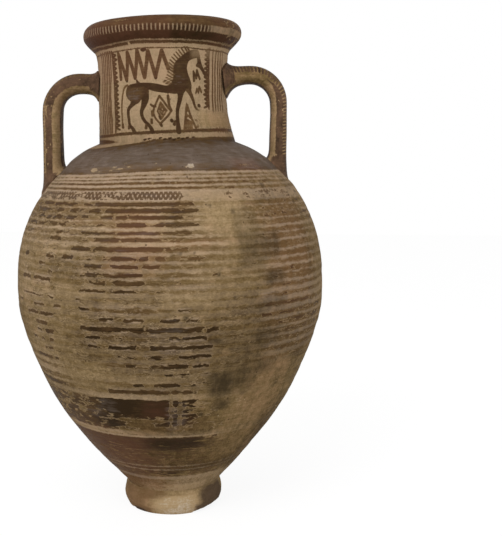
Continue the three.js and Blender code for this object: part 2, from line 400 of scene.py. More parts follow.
def turned_piece(name, wheel, outline, segments, clay, **sizes):
    """One thrown section of the pot, turned from its outline into a plain mesh."""
    points, relief = outline
    mesh = bpy.data.meshes.new(name)
    edges = [(i, i + 1) for i in range(len(points) - 1)]
    mesh.from_pydata([(radius * MM, 0, level * MM) for radius, level in points], edges, [])
    mesh.attributes.new("relief", "FLOAT", "POINT").data.foreach_set("value", relief.astype(np.float32))
    piece = placed(name, mesh)
    modifier = piece.modifiers.new("wheel", "NODES")
    modifier.node_group = wheel
    given = {"Segments": segments, "Rows": len(points), "Clay": clay, **sizes}
    for socket in wheel.interface.items_tree:
        if socket.name in given:
            modifier[socket.identifier] = given[socket.name]
    bpy.context.view_layer.update()
    made = bpy.data.meshes.new_from_object(piece.evaluated_get(bpy.context.evaluated_depsgraph_get()))
    piece.modifiers.clear()
    piece.data = made
    bpy.data.meshes.remove(mesh)
    made.name = name
    return piece


def read_points(mesh, name, width=3):
    """The numbers that a mesh keeps on its points."""
    values = np.zeros(len(mesh.vertices) * width, np.float32)
    mesh.attributes[name].data.foreach_get("vector" if width == 3 else "value", values)
    return values.reshape(-1, width).squeeze().astype(float)


def write_points(mesh, name, x, y, z):
    """Keeps three numbers on each point of a mesh, for its material to read."""
    values = np.stack(np.broadcast_arrays(x, y, z), 1).astype(np.float32)
    mesh.attributes.new(name, "FLOAT_VECTOR", "POINT").data.foreach_set("vector", values.ravel())


def as_thrown(mesh):
    """Where points are now and were on the wheel, then their turn from the front and radius on the wheel."""
    thrown = read_points(mesh, "thrown") / MM
    turn = np.degrees(np.arctan2(thrown[:, 0], -thrown[:, 1]))
    radius = np.maximum(np.hypot(thrown[:, 0], thrown[:, 1]), 1e-3)
    return read_points(mesh, "position") / MM, thrown, turn, radius


def move_points(mesh, place):
    mesh.vertices.foreach_set("co", (place * MM).astype(np.float32).ravel())


def off_the_wheel(mesh, crisp_angle):
    """Drops what only the making needed, and keeps edges crisp that turn by more than an angle."""
    for name in ("thrown", "relief"):
        mesh.attributes.remove(mesh.attributes[name])
    mesh.set_sharp_from_angle(angle=math.radians(crisp_angle))


# Paint and wear: turn is in degrees from the painted front, level in millimetres

EYE_LEVEL = 374.32
PAINT_STRETCH = 1.0036
PAINT_SLANT = 0.022
PANEL_RADIUS = 70
MM_PER_DEGREE = math.radians(PANEL_RADIUS)
FAR = 4.0
BRUSH_SEED = 11
BODY_CRISP, FOOT_CRISP, STRAP_CRISP = 48, 40, 50
FOOT_DRUM = 60


def smooth(value, start, end):
    share = np.clip((value - start) / (end - start), 0, 1)
    return share * share * (3 - 2 * share)


def window(value, start, end, stop, close):
    """Rises from start to end and falls again from stop to close."""
    return smooth(value, start, end) * (1 - smooth(value, stop, close))


def blend(one, other, share):
    return one * (1 - share) + other * share


def beside_run(x, y, start, end):
    """How far points lie from a straight run, and beside which share of it."""
    run = end - start
    offset = np.stack([x - start[0], y - start[1]], 1)
    share = np.clip(offset @ run / max(run @ run, 1e-9), 0, 1)
    return np.linalg.norm(offset - share[:, None] * run, axis=1), share


class Panel:
    """The neck's picture: each point's distance to the nearest brush stroke, and that stroke's tone."""

    def __init__(self, turn, level):
        self.across = turn * MM_PER_DEGREE
        self.level = level
        self.distance = np.full(len(turn), FAR)
        self.tone = np.full(len(turn), 0.4)

    def near(self, points, margin):
        low, high = points.min(0) - margin, points.max(0) + margin
        inside = (self.across > low[0]) & (self.across < high[0])
        chosen = np.nonzero(inside & (self.level > low[1]) & (self.level < high[1]))[0]
        return chosen, self.across[chosen], self.level[chosen]

    def lay(self, chosen, distance, tone):
        nearer = distance < self.distance[chosen]
        self.distance[chosen[nearer]] = distance[nearer]
        self.tone[chosen[nearer]] = tone

    def stroke(self, points, tone, bends=True):
        """A brush stroke through (turn, level, width) points."""
        line = np.array(points, float) * (MM_PER_DEGREE, 1, 0.5)
        if bends and len(line) > 2:
            line = drawn_through(line, (len(line) - 1) * 5)
        for start, end in zip(line, line[1:]):
            chosen, x, y = self.near(np.array([start[:2], end[:2]]), FAR + max(start[2], end[2]))
            away, share = beside_run(x, y, start[:2], end[:2])
            self.lay(chosen, away - (start[2] + (end[2] - start[2]) * share), tone)

    def area(self, points, tone, bends=True):
        """A filled shape inside a closed line of (turn, level) points."""
        ring = np.array(points + points[:1], float) * (MM_PER_DEGREE, 1)
        if bends:
            ring = drawn_through(ring, len(points) * 5)
        chosen, x, y = self.near(ring, FAR)
        away = np.full(len(chosen), 1e9)
        inside = np.zeros(len(chosen), bool)
        for start, end in zip(ring, ring[1:]):
            away = np.minimum(away, beside_run(x, y, start, end)[0])
            run = end - start
            if abs(run[1]) > 1e-9:
                inside ^= ((start[1] > y) != (end[1] > y)) & (x < start[0] + (y - start[1]) * run[0] / run[1])
        self.lay(chosen, np.where(inside, -away, away), tone)

    def dashes(self, tone, taper, rows):
        """Straight strokes from one (turn, level) to another, with a width that tapers."""
        for turn, level, end_turn, end_level, width in rows:
            self.stroke([(turn, level, width), (end_turn, end_level, width * taper)], tone)


# Figures drawn with bends: tone in per cent, then (turn, level) points of a filled shape or
# (turn, level, width) points of a stroke. First the horse: trunk, haunch, neck with head, muzzle,
# tail and legs. Then the signs around it
BENT = [
    (85, [(-25, 454.6), (-20, 455.8), (-12, 456.2), (-5, 455.6), (0, 454.6), (5, 453.2), (9, 452.8),
        (14, 452), (15, 446), (10, 446), (5, 446.5), (0, 447.4), (-5, 448.7), (-8.5, 450), (-16, 450),
        (-24, 450)]),
    (62, [(-26.6, 453.8), (-28.3, 449.5), (-28.2, 444.5), (-26.6, 441), (-24.2, 438.6), (-22, 436.4),
        (-19, 435.8), (-16.5, 437.6), (-14, 441), (-9, 443), (-8.2, 449), (-11, 453.5), (-18, 455.2)]),
    (80, [(9, 449), (8.6, 453), (10.8, 455.5), (12.8, 459.5), (13, 465), (13, 470), (14, 475), (16.5, 479),
        (19.5, 482), (23, 485.3), (27, 488), (31, 489.2), (34.5, 488.6), (35.8, 486), (35.4, 483.2),
        (33.4, 481.8), (30.8, 481), (28.2, 479.8), (26, 478), (24.8, 475), (24.3, 471.5), (24.7, 468),
        (25.8, 464), (27.2, 460), (28.4, 456), (28.6, 452), (27.8, 447.5), (25.9, 448), (24.2, 449.7),
        (22.4, 447.4), (20.8, 445.5), (16.3, 445.6), (12, 446)]),
    (72, [(33, 485), (36, 485), (37, 480.5), (38, 476.8), (39.4, 473.4), (41.4, 469.8), (43.4, 466.3),
        (43, 464.7), (41.4, 464.8), (40, 467), (38.2, 470), (36.3, 471.8), (34.4, 472.6), (33.2, 473.4),
        (33.4, 474.8), (34.3, 476.5), (34.2, 480)]),
    (30, [(-27, 454.6, 1.2), (-29.6, 453.2, 1.4), (-31.2, 449.8, 1.3), (-32.2, 445, 1.2), (-33.2, 438, 1.2),
        (-33.8, 428, 1.2), (-33.9, 416, 1.2)]),
    (60, [(-33.7, 415.6, 2.2), (-33.5, 413, 2.6)]),
    (78, [(-21, 438, 6), (-23.5, 434.8, 3.8), (-26, 432, 3.2), (-27.1, 429, 2.9), (-27.3, 424, 2.6),
        (-27.1, 419, 2.5), (-26.8, 415, 2.3), (-25.6, 413, 2.6), (-24, 411, 3), (-22.8, 408, 3.2)]),
    (60, [(-27.3, 414.5, 1.6), (-27.7, 411.6, 2)]),
    (82, [(-11.4, 446, 8), (-11.2, 441, 7.4), (-11.9, 437, 6), (-13.4, 432.5, 4.2), (-14.7, 428.5, 3.3),
        (-14.9, 424.5, 2.9), (-14, 420.8, 2.8), (-12.4, 417.6, 2.7), (-10.6, 415.6, 2.5), (-9, 413, 2.8),
        (-7.8, 410, 3.4), (-7.4, 407.5, 3.6)]),
    (65, [(-11.6, 414.8, 1.8), (-12.4, 411.4, 2.4)]),
    (82, [(19.2, 448, 7), (18.7, 443.5, 5), (18.1, 439.5, 4), (16.9, 434.5, 3.5), (15.6, 430, 3),
        (14.9, 425, 2.7), (14.5, 420, 2.8), (14.3, 415, 3.2), (14, 411, 4), (13.7, 407.5, 4.6)]),
    (60, [(25.8, 449.5, 5), (27.4, 446.3, 3.8), (29.2, 442.4, 3), (30.4, 438.6, 2.5), (31.1, 434.8, 2.1),
        (32.2, 431.2, 1.8), (34, 429.5, 1.2), (35.6, 428.9, 0.9)]),
    (70, [(-18.6, 459.4, 1), (-17.8, 457.6, 1.5), (-16, 456, 1.2)]),
    (100, [(-14, 488.7, 1.2), (-12.3, 488.6, 3), (-10.6, 488.9, 1.8)]),
    (50, [(0.2, 441.5, 1.3), (-1.8, 436.5, 1.3), (-4, 431, 1.4), (-4.9, 426, 1.5), (-3.6, 421, 1.4),
        (-1.6, 417.5, 1.3), (0.2, 415.2, 1.6)]),
    (75, [(0.1, 423, 2.2), (0.6, 420.4, 2)]),
    (75, [(0.2, 414.8, 2.4), (0.6, 413.4, 2)]),
    (60, [(8.2, 443.5, 2), (8.5, 438.5, 2.2), (9, 433, 1.7), (10.4, 428.6, 1.5)]),
    (55, [(-6.5, 434.6, 1.6), (-4.4, 432.8, 1.7), (-2.6, 432.6, 1.3)]),
    (50, [(-6.2, 428, 1.2), (-6, 423.6, 1.6)]),
    (65, [(-7, 419.6, 2), (-7.1, 416.4, 2)]),
    (85, [(9.5, 418.8, 2.8), (9.6, 418.2, 2.8)]),
    (70, [(12.2, 418, 1.2), (11.1, 414.6, 2.4)]),
    (80, [(35.6, 434, 3), (35.9, 433.6, 2.8)]),
    (30, [(30.6, 419, 1.6), (32.6, 416, 1.6), (31, 412.6, 1.8)]),
    (22, [(34.4, 419.6, 1.4), (35.4, 415, 1.6)]),
    (40, [(27.8, 416, 1.6), (28.6, 413, 2)]),
    (60, [(44.2, 437.4, 1), (45.4, 437, 1.2)]),
]
# Figures drawn with corners: the lozenge, the triangle between the forelegs and zigzags before the chest
STRAIGHT = [
    (55, [(1, 443, 1.8), (4.5, 437.6, 1.5), (7.4, 431.8, 1.4), (10, 428, 1.4), (7, 423.4, 1.4),
        (3.2, 419.2, 1.4), (0.2, 415.8, 1.5)]),
    (40, [(1.8, 436.8, 1), (6.3, 428.6, 1), (1.9, 421.2, 1), (-1.4, 427.6, 1), (1.8, 436.8, 1)]),
    (50, [(24.1, 436.6), (22.7, 428), (25.5, 428)]),
    (42, [(24, 434, 1.8), (21.6, 422, 1.5), (18.7, 409.6, 1.4)]),
    (50, [(24.3, 434, 1.8), (26.6, 422, 1.6), (29, 411.4, 1.8)]),
    (66, [(31.3, 458.6, 2), (30.6, 468, 1.5), (33.6, 461, 1.5), (34, 469.4, 1.6), (36.8, 460.8, 2.1)]),
    (40, [(33, 446.4, 1.3), (34.1, 451, 1.2), (35.6, 446.6, 1.4), (36.5, 453, 1.3), (38.8, 447.6, 1.8)]),
]
ZIGZAG = [
    (-33.9, 461), (-36.3, 486.5), (-27.9, 460), (-26.7, 487), (-19.9, 462), (-17.6, 488), (-11.4, 461.5),
    (-8.4, 487.5), (-2.1, 462.5), (3, 487.6), (8.5, 470),
]
BLOTS = [
    (-34.2, 466, -34.1, 460.5, 2.2), (-28.4, 465, -27.6, 459, 2.7), (-20.2, 467, -19.9, 461, 2.7),
    (-11.7, 467, -11.5, 461, 2.2), (-2.4, 467, -1.9, 461, 2.9), (6.6, 475, 8.6, 470, 2.6),
]
DABS = [
    (-14, 399.6, 1.4), (-10.6, 400.4, 1), (-1.5, 401, 1.1), (1.8, 399.8, 1.3), (6, 400.6, 1.6),
    (9.4, 399.4, 1.2), (12.8, 400.8, 1.1), (16, 400.2, 1.4), (20, 401.2, 1.2), (25, 401.6, 0.9),
]
MANE = [(9.4, 454), (12.2, 459), (13, 466), (13.6, 472.5), (16.7, 479), (21.2, 483.8), (26, 487.5)]
LOZENGE_HATCH = [
    (0.2, 431.8, 3.2, 427, 1), (1.6, 434, 4.9, 428.8, 1), (0.6, 427.6, 2.9, 424, 1),
    (2.6, 432.6, 0.8, 429.4, 1), (4.6, 430, 2.2, 425.4, 1),
]
TRIANGLE_HATCH = [(21.4, 421.6, 26.2, 424.4, 1), (21, 419, 27, 417, 1), (22.6, 425.2, 25.8, 421, 1)]
UPRIGHT_TOP = 491
UPRIGHT_STEP = 20.8
TOOTH_PITCH = 2.2
UPRIGHTS = [
    (-61.2, 1.6, 0.24), (-57.7, 1.6, 0.28), (-54.4, 1.5, 0.3), (-51.5, 1.4, 0.34), (-48.8, 1.4, 0.38),
    (-46.4, 1.3, 0.4), (51.7, 1.5, 0.34), (55.5, 1.5, 0.3), (59.2, 1.6, 0.28), (63, 1.7, 0.24),
    (67, 1.8, 0.2),
]
# Toothed columns: middle line, its steps, reach of the teeth, level of the first tooth and their count
COLUMNS = [
    ([
        (-44, 489), (-43.4, 478), (-42.6, 466), (-41.6, 455), (-41.2, 440), (-41.4, 424), (-42, 408),
    ], 60, 4.6, 487.5, 36),
    ([(46.5, 492), (46.9, 470), (46.7, 450), (46.3, 431)], 40, -4.8, 491.5, 28),
]


def paint_figures(panel):
    """The horse and the signs that fill the ground around it."""
    for bends, figures in ((True, BENT), (False, STRAIGHT)):
        for tone, points in figures:
            draw = panel.stroke if len(points[0]) == 3 else panel.area
            draw(points, tone / 100, bends)
    for turn, level in drawn_through(MANE, 15):
        share = (level - MANE[0][1]) / 33
        tip = (turn - 5.4 + 2.4 * share, level + 3.2 + 2.6 * share, 0.6)
        panel.stroke([(turn + 0.6, level, 1), tip], 0.46)
    panel.dashes(0.5, 3.2 / 3, [(*start, *end, 3) for start, end in zip(ZIGZAG, ZIGZAG[1:])])
    panel.dashes(0.95, 0.9, BLOTS)
    panel.dashes(0.9, 0.6, [(turn - 0.8, level, turn + 0.8, level + 0.6, wide) for turn, level, wide in DABS])
    panel.dashes(0.45, 1, LOZENGE_HATCH)
    panel.dashes(0.32, 1 / 1.1, [(22.3 + 1.3 * i, 420 - i, 20.2 + 1.7 * i, 409.6, 1.1) for i in range(4)])
    panel.dashes(0.34, 1, TRIANGLE_HATCH)


def paint_columns(panel, chance):
    """The upright lines and the toothed columns at both sides of the picture."""
    for turn, wide, tone in UPRIGHTS:
        panel.stroke([
            (turn + bow, UPRIGHT_TOP - i * UPRIGHT_STEP, wide * chance.uniform(0.8, 1.15))
            for i, bow in enumerate(chance.uniform(-0.35, 0.35, 5))
        ], tone)
    for points, steps, reach, top, count in COLUMNS:
        line = drawn_through(points, steps)
        teeth = []
        for i in range(count):
            level = top - TOOTH_PITCH * i
            turn = np.interp(-level, -line[:, 1], line[:, 0])
            teeth.append((turn + reach * (i % 2) * chance.uniform(0.8, 1.1), level, 1.5))
        panel.stroke(teeth, 0.62, bends=False)
        panel.stroke([(turn, level, 1.7) for turn, level in line[::10]], 0.55)


def soft_patches(turn, level, start, patches, squareness=4):
    """A field that begins at start and is drawn towards each patch's value in turn.
    A patch is (middle turn, middle level, half its turn, half its height, value in per cent)."""
    field = np.full(len(turn), start, float)
    for middle, height, half_turn, half_height, value in patches:
        away = (np.abs((turn - middle + 180) % 360 - 180) / half_turn) ** squareness
        away += (np.abs(level - height) / half_height) ** squareness
        field += (value / 100 - field) * np.exp(-away * 0.7)
    return field


# How much of the paint is left: 0 bare, 100 whole
KEPT = [
    (0, 330, 400, 24, 34), (0, 280, 400, 30, 16), (0, 200, 400, 55, 13), (0, 130, 400, 22, 60),
    (0, 75, 400, 33, 80), (180, 260, 56, 110, 55), (120, 200, 30, 80, 30), (-130, 300, 35, 50, 35),
    (-10, 356, 62, 12, 84), (35, 356, 26, 11, 62), (62, 356, 16, 12, 40), (-22, 345, 30, 5, 66),
    (2, 345, 8, 5, 90), (19, 345, 14, 5, 46), (-52, 325, 16, 16, 36), (-32, 326, 14, 14, 36),
    (24, 322, 15, 22, 4), (52, 290, 14, 50, 20), (36, 285, 8, 40, 16), (57, 224, 15, 26, 46),
    (26, 225, 10, 40, 12), (-52, 165, 14, 18, 35), (-26, 175, 16, 16, 10), (44, 168, 24, 18, 5),
    (-48, 136, 12, 14, 46), (-56, 120, 12, 10, 60), (-34, 134, 8, 14, 46), (-18, 141, 8, 10, 97),
    (-5, 140, 8, 11, 92), (-4, 118, 20, 9, 15), (-30, 121, 12, 8, 66), (6, 121, 9, 2.6, 85),
    (4, 109.6, 20, 2.4, 0), (5, 132, 4, 18, 85), (10.5, 133, 2.6, 17, 92), (-45, 107, 26, 1.6, 2),
    (3, 132, 0.7, 20, 10), (6.6, 132, 0.8, 20, 5), (48, 130, 36, 28, 0), (-8, 124.6, 12, 1.2, 10),
    (-10, 96, 34, 10, 95), (6, 76, 20, 12, 46), (-34, 78, 24, 12, 74), (52, 84, 29, 32, 5),
    (24.5, 97, 3, 10, 50), (14, 55, 24, 6, 62), (-36, 55, 20, 8, 70), (62, 60, 22, 16, 30),
]
# Pieces of the rings that are left: level of the ring, half its width, then where each piece starts and
# ends and how whole it is
FRAGMENTS = [
    (338.2, 3.2, [(-62, -54, 60), (-50, -42, 76), (-40, -36, 80), (-33, -29, 70), (-27, 5, 97), (5, 12, 76),
        (12, 17, 50)]),
    (332.2, 3.4, [(-64, -53, 80), (-46, -42, 75), (-40, -31, 70), (-29, -25, 66), (-22, 6, 98), (6, 13, 74)]),
    (325.5, 3, [(-60, -49, 72), (-47, -42, 78), (-39, -34, 82), (-32, -29, 66), (-23, -19, 82),
        (-17, -13, 85), (-12, -6, 95), (-5, 6, 93), (6, 11, 66)]),
    (319, 3, [(-72, -50, 66), (-47, -39, 72), (-37, -34, 60), (-32, -29, 50), (-16, -6, 95), (-4, 1, 60),
        (1, 7, 85), (7, 13, 70)]),
    (311.3, 2.6, [(-75, -56, 50), (-30, -26, 72), (-24, -17, 82), (-16, -1, 97), (0, 10, 72)]),
    (305.2, 2.8, [(-45, -39, 70), (-30, -27, 60), (-24, -15, 84), (-14, -1, 98), (0, 8, 60)]),
    (296.7, 3.2, [(-33, -25, 84), (-23, -16, 72), (-16, 0, 97), (1, 9, 60)]),
    (288.3, 3.2, [(-62, -59, 60), (-45, -41, 82), (-37, -32, 76), (-29, -24, 74), (-20, -17, 66),
        (-17, -9, 96), (-7, -4, 80), (-2, 1, 90), (6, 12, 50)]),
    (280.7, 2.7, [(-49, -46, 66), (-26, -20, 86), (-17, -8, 95), (-6, -1, 88), (6, 10, 45)]),
    (272.8, 2.7, [(-62, -58, 50), (-43, -41, 70), (-28, -21, 76), (-19, -6, 93), (-5, -2, 60)]),
    (265.8, 3.2, [(-62, -55, 76), (-52, -42, 82), (-25, -19, 70), (-16, -6, 96), (2, 7, 40)]),
    (257.5, 2.3, [(-28, -19, 84), (-17, -9, 90)]),
    (249, 2, [(-62, -54, 80), (-53, -46, 76), (-43, -40, 80), (-30, -28, 70), (3, 6, 50)]),
    (240, 2.4, [(-66, -63, 60), (-52, -46, 82), (-40, -37, 85), (-28, -25, 80), (-19, -15, 40), (5, 9, 70),
        (36, 47, 75), (49, 54, 60), (56, 59, 95)]),
    (230.7, 2.6, [(-57, -49, 80), (-48, -41, 84), (-21, -16, 95), (-12, -6, 80), (0, 6, 86), (8, 12, 70),
        (35, 39, 70)]),
    (221.5, 2.9, [(-51, -45, 85), (-28, -26, 90), (-25, -17, 95), (-16, -6, 98), (-4, 13, 97), (15, 19, 60)]),
    (213, 2.8, [(-52, -48, 85), (-46, -42, 82), (-27, -21, 88), (-17, -13, 60), (2.5, 6, 85), (7, 15, 90)]),
    (204, 2.7, [(-57, -53, 80), (-51, -49, 80), (-45, -43, 82), (-26, -23, 85), (-18, -9, 98), (-4, 17, 97)]),
    (194.8, 2.6, [(-50, -48, 80), (-47, -45, 84), (-16, -10, 55), (-6, 0, 74), (6, 17, 95)]),
    (185.2, 2.8, [(-58, -47, 86), (-45, -43, 80), (-13, -9, 74), (-5, 0, 76), (-1, 9, 97), (11, 16, 90)]),
    (176.5, 2, [(-58, -52, 70), (-43, -41, 60), (1, 4, 80), (5, 9, 60), (14, 17, 70)]),
    (168.5, 2.4, [(-62, -46, 74)]),
    (165.2, 2.8, [(-17, -12, 40), (-11, -7, 80), (-3, 6, 96), (10, 16, 50)]),
    (157.2, 3.2, [(-62, -45, 74), (-22, 2, 99), (4, 6, 70), (7.5, 10, 74)]),
]
# Faded bands with soft edges
GHOST = [
    (0, 330, 400, 24, 50), (0, 270, 400, 60, 24), (0, 190, 400, 40, 16), (-50, 322, 34, 22, 80),
    (-22, 318, 14, 22, 75), (-56, 270, 16, 30, 30), (11, 325, 9, 24, 90), (24, 322, 11, 24, 10),
    (9, 300, 11, 10, 85), (7, 280, 11, 20, 65), (2, 262, 18, 8, 50), (-18, 275, 12, 24, 50),
    (54, 285, 17, 64, 80), (76, 270, 10, 70, 30), (38, 330, 8, 14, 50), (23, 250, 10, 34, 30),
    (55, 215, 18, 36, 75), (44, 212, 6, 24, 70), (28, 190, 9, 30, 12), (-46, 230, 22, 30, 16),
    (-8, 218, 22, 5, 50), (-2, 188, 18, 30, 36), (-54, 168, 16, 18, 75), (-30, 180, 12, 16, 15),
    (-8, 167, 16, 3, 60), (-14, 186, 8, 3, 70), (-12, 240, 12, 5, 75), (40, 355, 24, 12, 60),
    (50, 165, 34, 20, 8), (48, 130, 34, 24, 0), (0, 119, 22, 9, 40), (4, 109.6, 20, 2.4, 0),
    (-45, 107, 26, 1.6, 0), (-44, 36, 26, 12, 90), (-14, 38, 16, 12, 60), (30, 76, 14, 24, 30),
    (180, 260, 60, 120, 55),
]
# Colour of the bare clay: 0 dark olive brown, 100 pale buff, 200 a chalky chip. The first five rows, all
# round, darken it towards the bottom as painted shade where the lower body faces down
PALE = [
    (0, 335, 400, 34, 55), (0, 270, 400, 34, 42), (0, 200, 400, 34, 20), (0, 130, 400, 34, 14),
    (0, 60, 400, 34, 14), (22, 328, 15, 20, 88), (18, 285, 10, 30, 60), (54, 290, 18, 62, 28),
    (76, 280, 10, 70, 46), (-46, 290, 22, 46, 74), (-48, 215, 18, 30, 50), (-52, 172, 18, 24, 60),
    (-50, 128, 14, 16, 45), (-10, 230, 20, 24, 24), (10, 168, 20, 10, 18), (-34, 172, 16, 14, 58),
    (-25, 275, 26, 14, 36), (-20, 321, 30, 13, 82), (34, 210, 14, 40, 20), (46, 130, 30, 44, 44),
    (-8, 170, 14, 6, 36), (-38, 108, 26, 4.5, 80), (4, 105.2, 24, 1.3, 60), (4, 109.6, 20, 2.2, 25),
    (-6, 152, 44, 3.4, 50), (2, 301, 22, 3, 80), (8, 252, 10, 8, 62), (28, 272, 8, 14, 50),
    (40, 92, 14, 20, 40), (24, 42, 44, 12, 70), (-42, 40, 18, 12, 20), (0, 31, 40, 5, 115),
    (66, 90, 14, 40, 20), (-37.5, 373.3, 4, 4, 110), (13.4, 373.6, 3, 4, 170), (-22, 373.6, 6, 3, 110),
    (-2.4, 370.6, 3, 2, 90), (48, 373, 9, 4, 35), (-23.2, 495.4, 1.3, 2.6, 120),
]
# Places where a flake took the glaze off to the clay
CHIPS = [
    (-37.5, 373.3, 2.2, 2.4, 100), (13.4, 373.4, 1.6, 2.2, 100), (11, 372.2, 1.6, 1.2, 62),
    (-25.6, 375, 1.6, 1.6, 68), (-22, 373, 2.4, 1.2, 62), (-17.5, 374.4, 1.4, 1.4, 66),
    (-27, 371.4, 2, 1.2, 60), (-2.4, 370.6, 2.4, 0.9, 66), (45, 373.5, 7, 3, 50), (54, 371, 5, 2.4, 48),
    (-33.4, 371, 1.4, 2, 60), (-23.2, 495.4, 1, 2.4, 100), (-20, 378, 1.4, 2.4, 52), (24, 385, 5, 1, 50),
    (-28, 517, 10, 1.6, 56), (-34, 521, 7, 1.4, 55), (20, 522, 4, 1, 50),
]
# Where the surface scaled off in small curls
FLAKY = [
    (0, 330, 400, 20, 25), (-45, 318, 24, 26, 75), (-20, 320, 14, 22, 30), (-34, 280, 26, 36, 90),
    (-6, 306, 14, 30, 16), (-30, 225, 34, 30, 75), (-4, 245, 16, 14, 80), (4, 200, 22, 46, 95),
    (-34, 180, 18, 20, 55), (-46, 134, 12, 14, 35), (-20, 128, 12, 8, 15), (5, 130, 8, 20, 20),
    (-34, 96, 24, 12, 15), (50, 250, 16, 100, 30),
]
# A dusty lime film, and at levels 445 and 462 a painted greyish sheen on the horse's haunch and neck
FILM_AND_SHEEN = [
    (-44, 316, 20, 20, 50), (-28, 300, 8, 26, 62), (-12, 316, 9, 4, 50), (2, 214, 7, 18, 40),
    (5, 130, 5, 20, 45), (-24, 140, 5, 8, 45), (-34, 130, 12, 8, 40), (10, 262, 8, 5, 50),
    (-35, 372, 12, 5, 40), (14, 373, 4, 4, 60), (-20, 374, 8, 4, 45), (0, 383, 400, 15, 78),
    (0, 345, 60, 22, 22), (-46, 320, 24, 22, 32), (-20, 306, 30, 34, 28), (-22, 445, 7, 7, 42),
    (18, 462, 6, 8, 30), (38, 248, 4, 6, 50),
]
# Smoke and damp stains, and darker patches low at the right edge (rows at turns 62 and 48): 0 clean, 100 dark
SMUDGE = [
    (31, 296, 5, 24, 62), (31, 322, 5, 12, 40), (40, 298, 5, 12, 75), (41, 266, 5, 8, 85),
    (38, 240, 8, 8, 50), (28, 166, 9, 16, 70), (22, 163, 5, 12, 110), (37, 178, 8, 8, 70),
    (24, 140, 4, 6, 90), (30, 192, 9, 12, 35), (38, 210, 8, 10, 60), (-62, 150, 10, 20, 30),
    (62, 96, 12, 26, 40), (48, 58, 9, 10, 50), (150, 150, 16, 30, 60), (-150, 310, 12, 20, 40),
    (18.8, 272.6, 0.7, 2, 100), (17.6, 335.6, 0.6, 1.8, 90), (26.6, 330, 0.7, 2, 90),
    (24.6, 249, 0.6, 2.2, 90), (6, 292.5, 0.6, 1.4, 80), (11, 293, 0.5, 1.6, 80), (7.6, 233, 0.8, 2.2, 90),
    (46.6, 354, 1.4, 2, 70), (64, 336, 1.4, 1.6, 80), (19, 209, 3, 3, 70), (16, 131, 1, 2, 90),
    (33, 150, 1, 2, 90),
]
# Reddish firing of paint and clay
RED = [
    (0, 100, 400, 30, 40), (-9, 308, 9, 30, 100), (-12, 283, 7, 9, 80),
    (-34, 78, 26, 30, 100), (-3, 140, 6, 11, 80), (-20, 130, 8, 20, 0), (-14, 200, 30, 50, 10),
    (50, 290, 13, 60, 75), (46, 150, 14, 40, 60), (-10, 352, 60, 16, 55), (46, 374, 10, 6, 120),
    (-50, 385, 18, 14, 50), (8, 92, 16, 12, 30), (0, 302, 24, 3, 80), (-36, 108, 24, 4, 80),
    (-36, 38, 34, 12, 110), (-28, 336, 30, 4, 50), (-28, 322, 14, 3, 60),
]
# How thick and dark the paint lies: 0 thin and brown, 100 thick and black
THICK = [
    (0, 330, 400, 30, 60), (0, 270, 400, 40, 66), (0, 195, 400, 40, 85), (0, 130, 400, 22, 60),
    (0, 75, 400, 33, 44), (-54, 230, 16, 60, 50), (50, 250, 18, 80, 50), (0, 383, 400, 16, 80),
    (-10, 372, 34, 4, 50), (-19, 141, 8, 10, 115), (-4, 140, 8, 11, 80), (10.5, 133, 2.6, 17, 95),
    (-24, 123, 10, 7, 95), (0, 118, 16, 8, 30), (0, 137, 12, 12, 80), (4, 95, 17, 9, 95),
    (-30, 95, 16, 9, 58), (1, 132, 9, 16, 95), (6, 73, 20, 14, 50), (0, 53, 8, 4, 80),
    (10, 288, 12, 20, 30), (0, 358, 80, 10, 36),
]
# The foot's brown drips, soot and pale clay
FOOT_DRIPS = [
    (-54, 16, 26, 13, 75), (-24, 23, 20, 5, 85), (10, 26, 14, 3, 30), (-40, 3, 15, 4, 110),
    (-75, 8, 20, 10, 70), (180, 20, 60, 8, 60),
]
FOOT_SOOT = [(59, 14, 25, 15, 95), (42, 3, 12, 6, 90), (-42, 2, 10, 3, 90), (-150, 10, 24, 10, 60)]
FOOT_PALE = [(7, 9, 26, 14, 142), (-60, 14, 26, 14, 72), (-6, 25, 24, 3, 70)]
FOOT_RED = [(-44, 14, 26, 14, 110)]


def ring_pieces(turn, level):
    """How whole the paint is in the pieces that are left of the worn rings."""
    field = np.zeros(len(turn))
    for height, half_height, pieces in FRAGMENTS:
        chosen = np.nonzero(np.abs(level - height) < 2 * half_height)[0]
        above = ((level[chosen] - height) / half_height) ** 4
        for start, end, value in pieces:
            middle, half_turn = (start + end) / 2, (end - start) / 2 + 0.4
            along = np.abs((turn[chosen] - middle) / half_turn) ** (3 + 1.6 * half_turn)
            whole = value / 100 * np.exp(-0.7 * (np.minimum(along, 50) + above))
            field[chosen] = np.maximum(field[chosen], whole)
    return field


def folded(turn):
    """Turn within one picture: the back of the jar carries the same one as the front."""
    return (turn + 90) % 180 - 90


def brush_level(turn, level, side):
    """The level that the painted rings follow: they rise a little to the right, for the jar stood askew."""
    on_neck = smooth(level, 396, 404)
    body = level - (0.012 + 0.008 * smooth(level, 200, 300)) * side
    body += np.maximum(level - 347, 0) * 0.2 * window(-turn, -10, 60, 110, 150) * (1 - on_neck)
    neck = level - PAINT_SLANT * side - 0.038 * side * (1 - smooth(level, 430, 480))
    neck += 2.4 * window(-turn, 5, 50, 110, 170) * window(level, 430, 480, 498, 508)
    return blend(body, neck, on_neck)


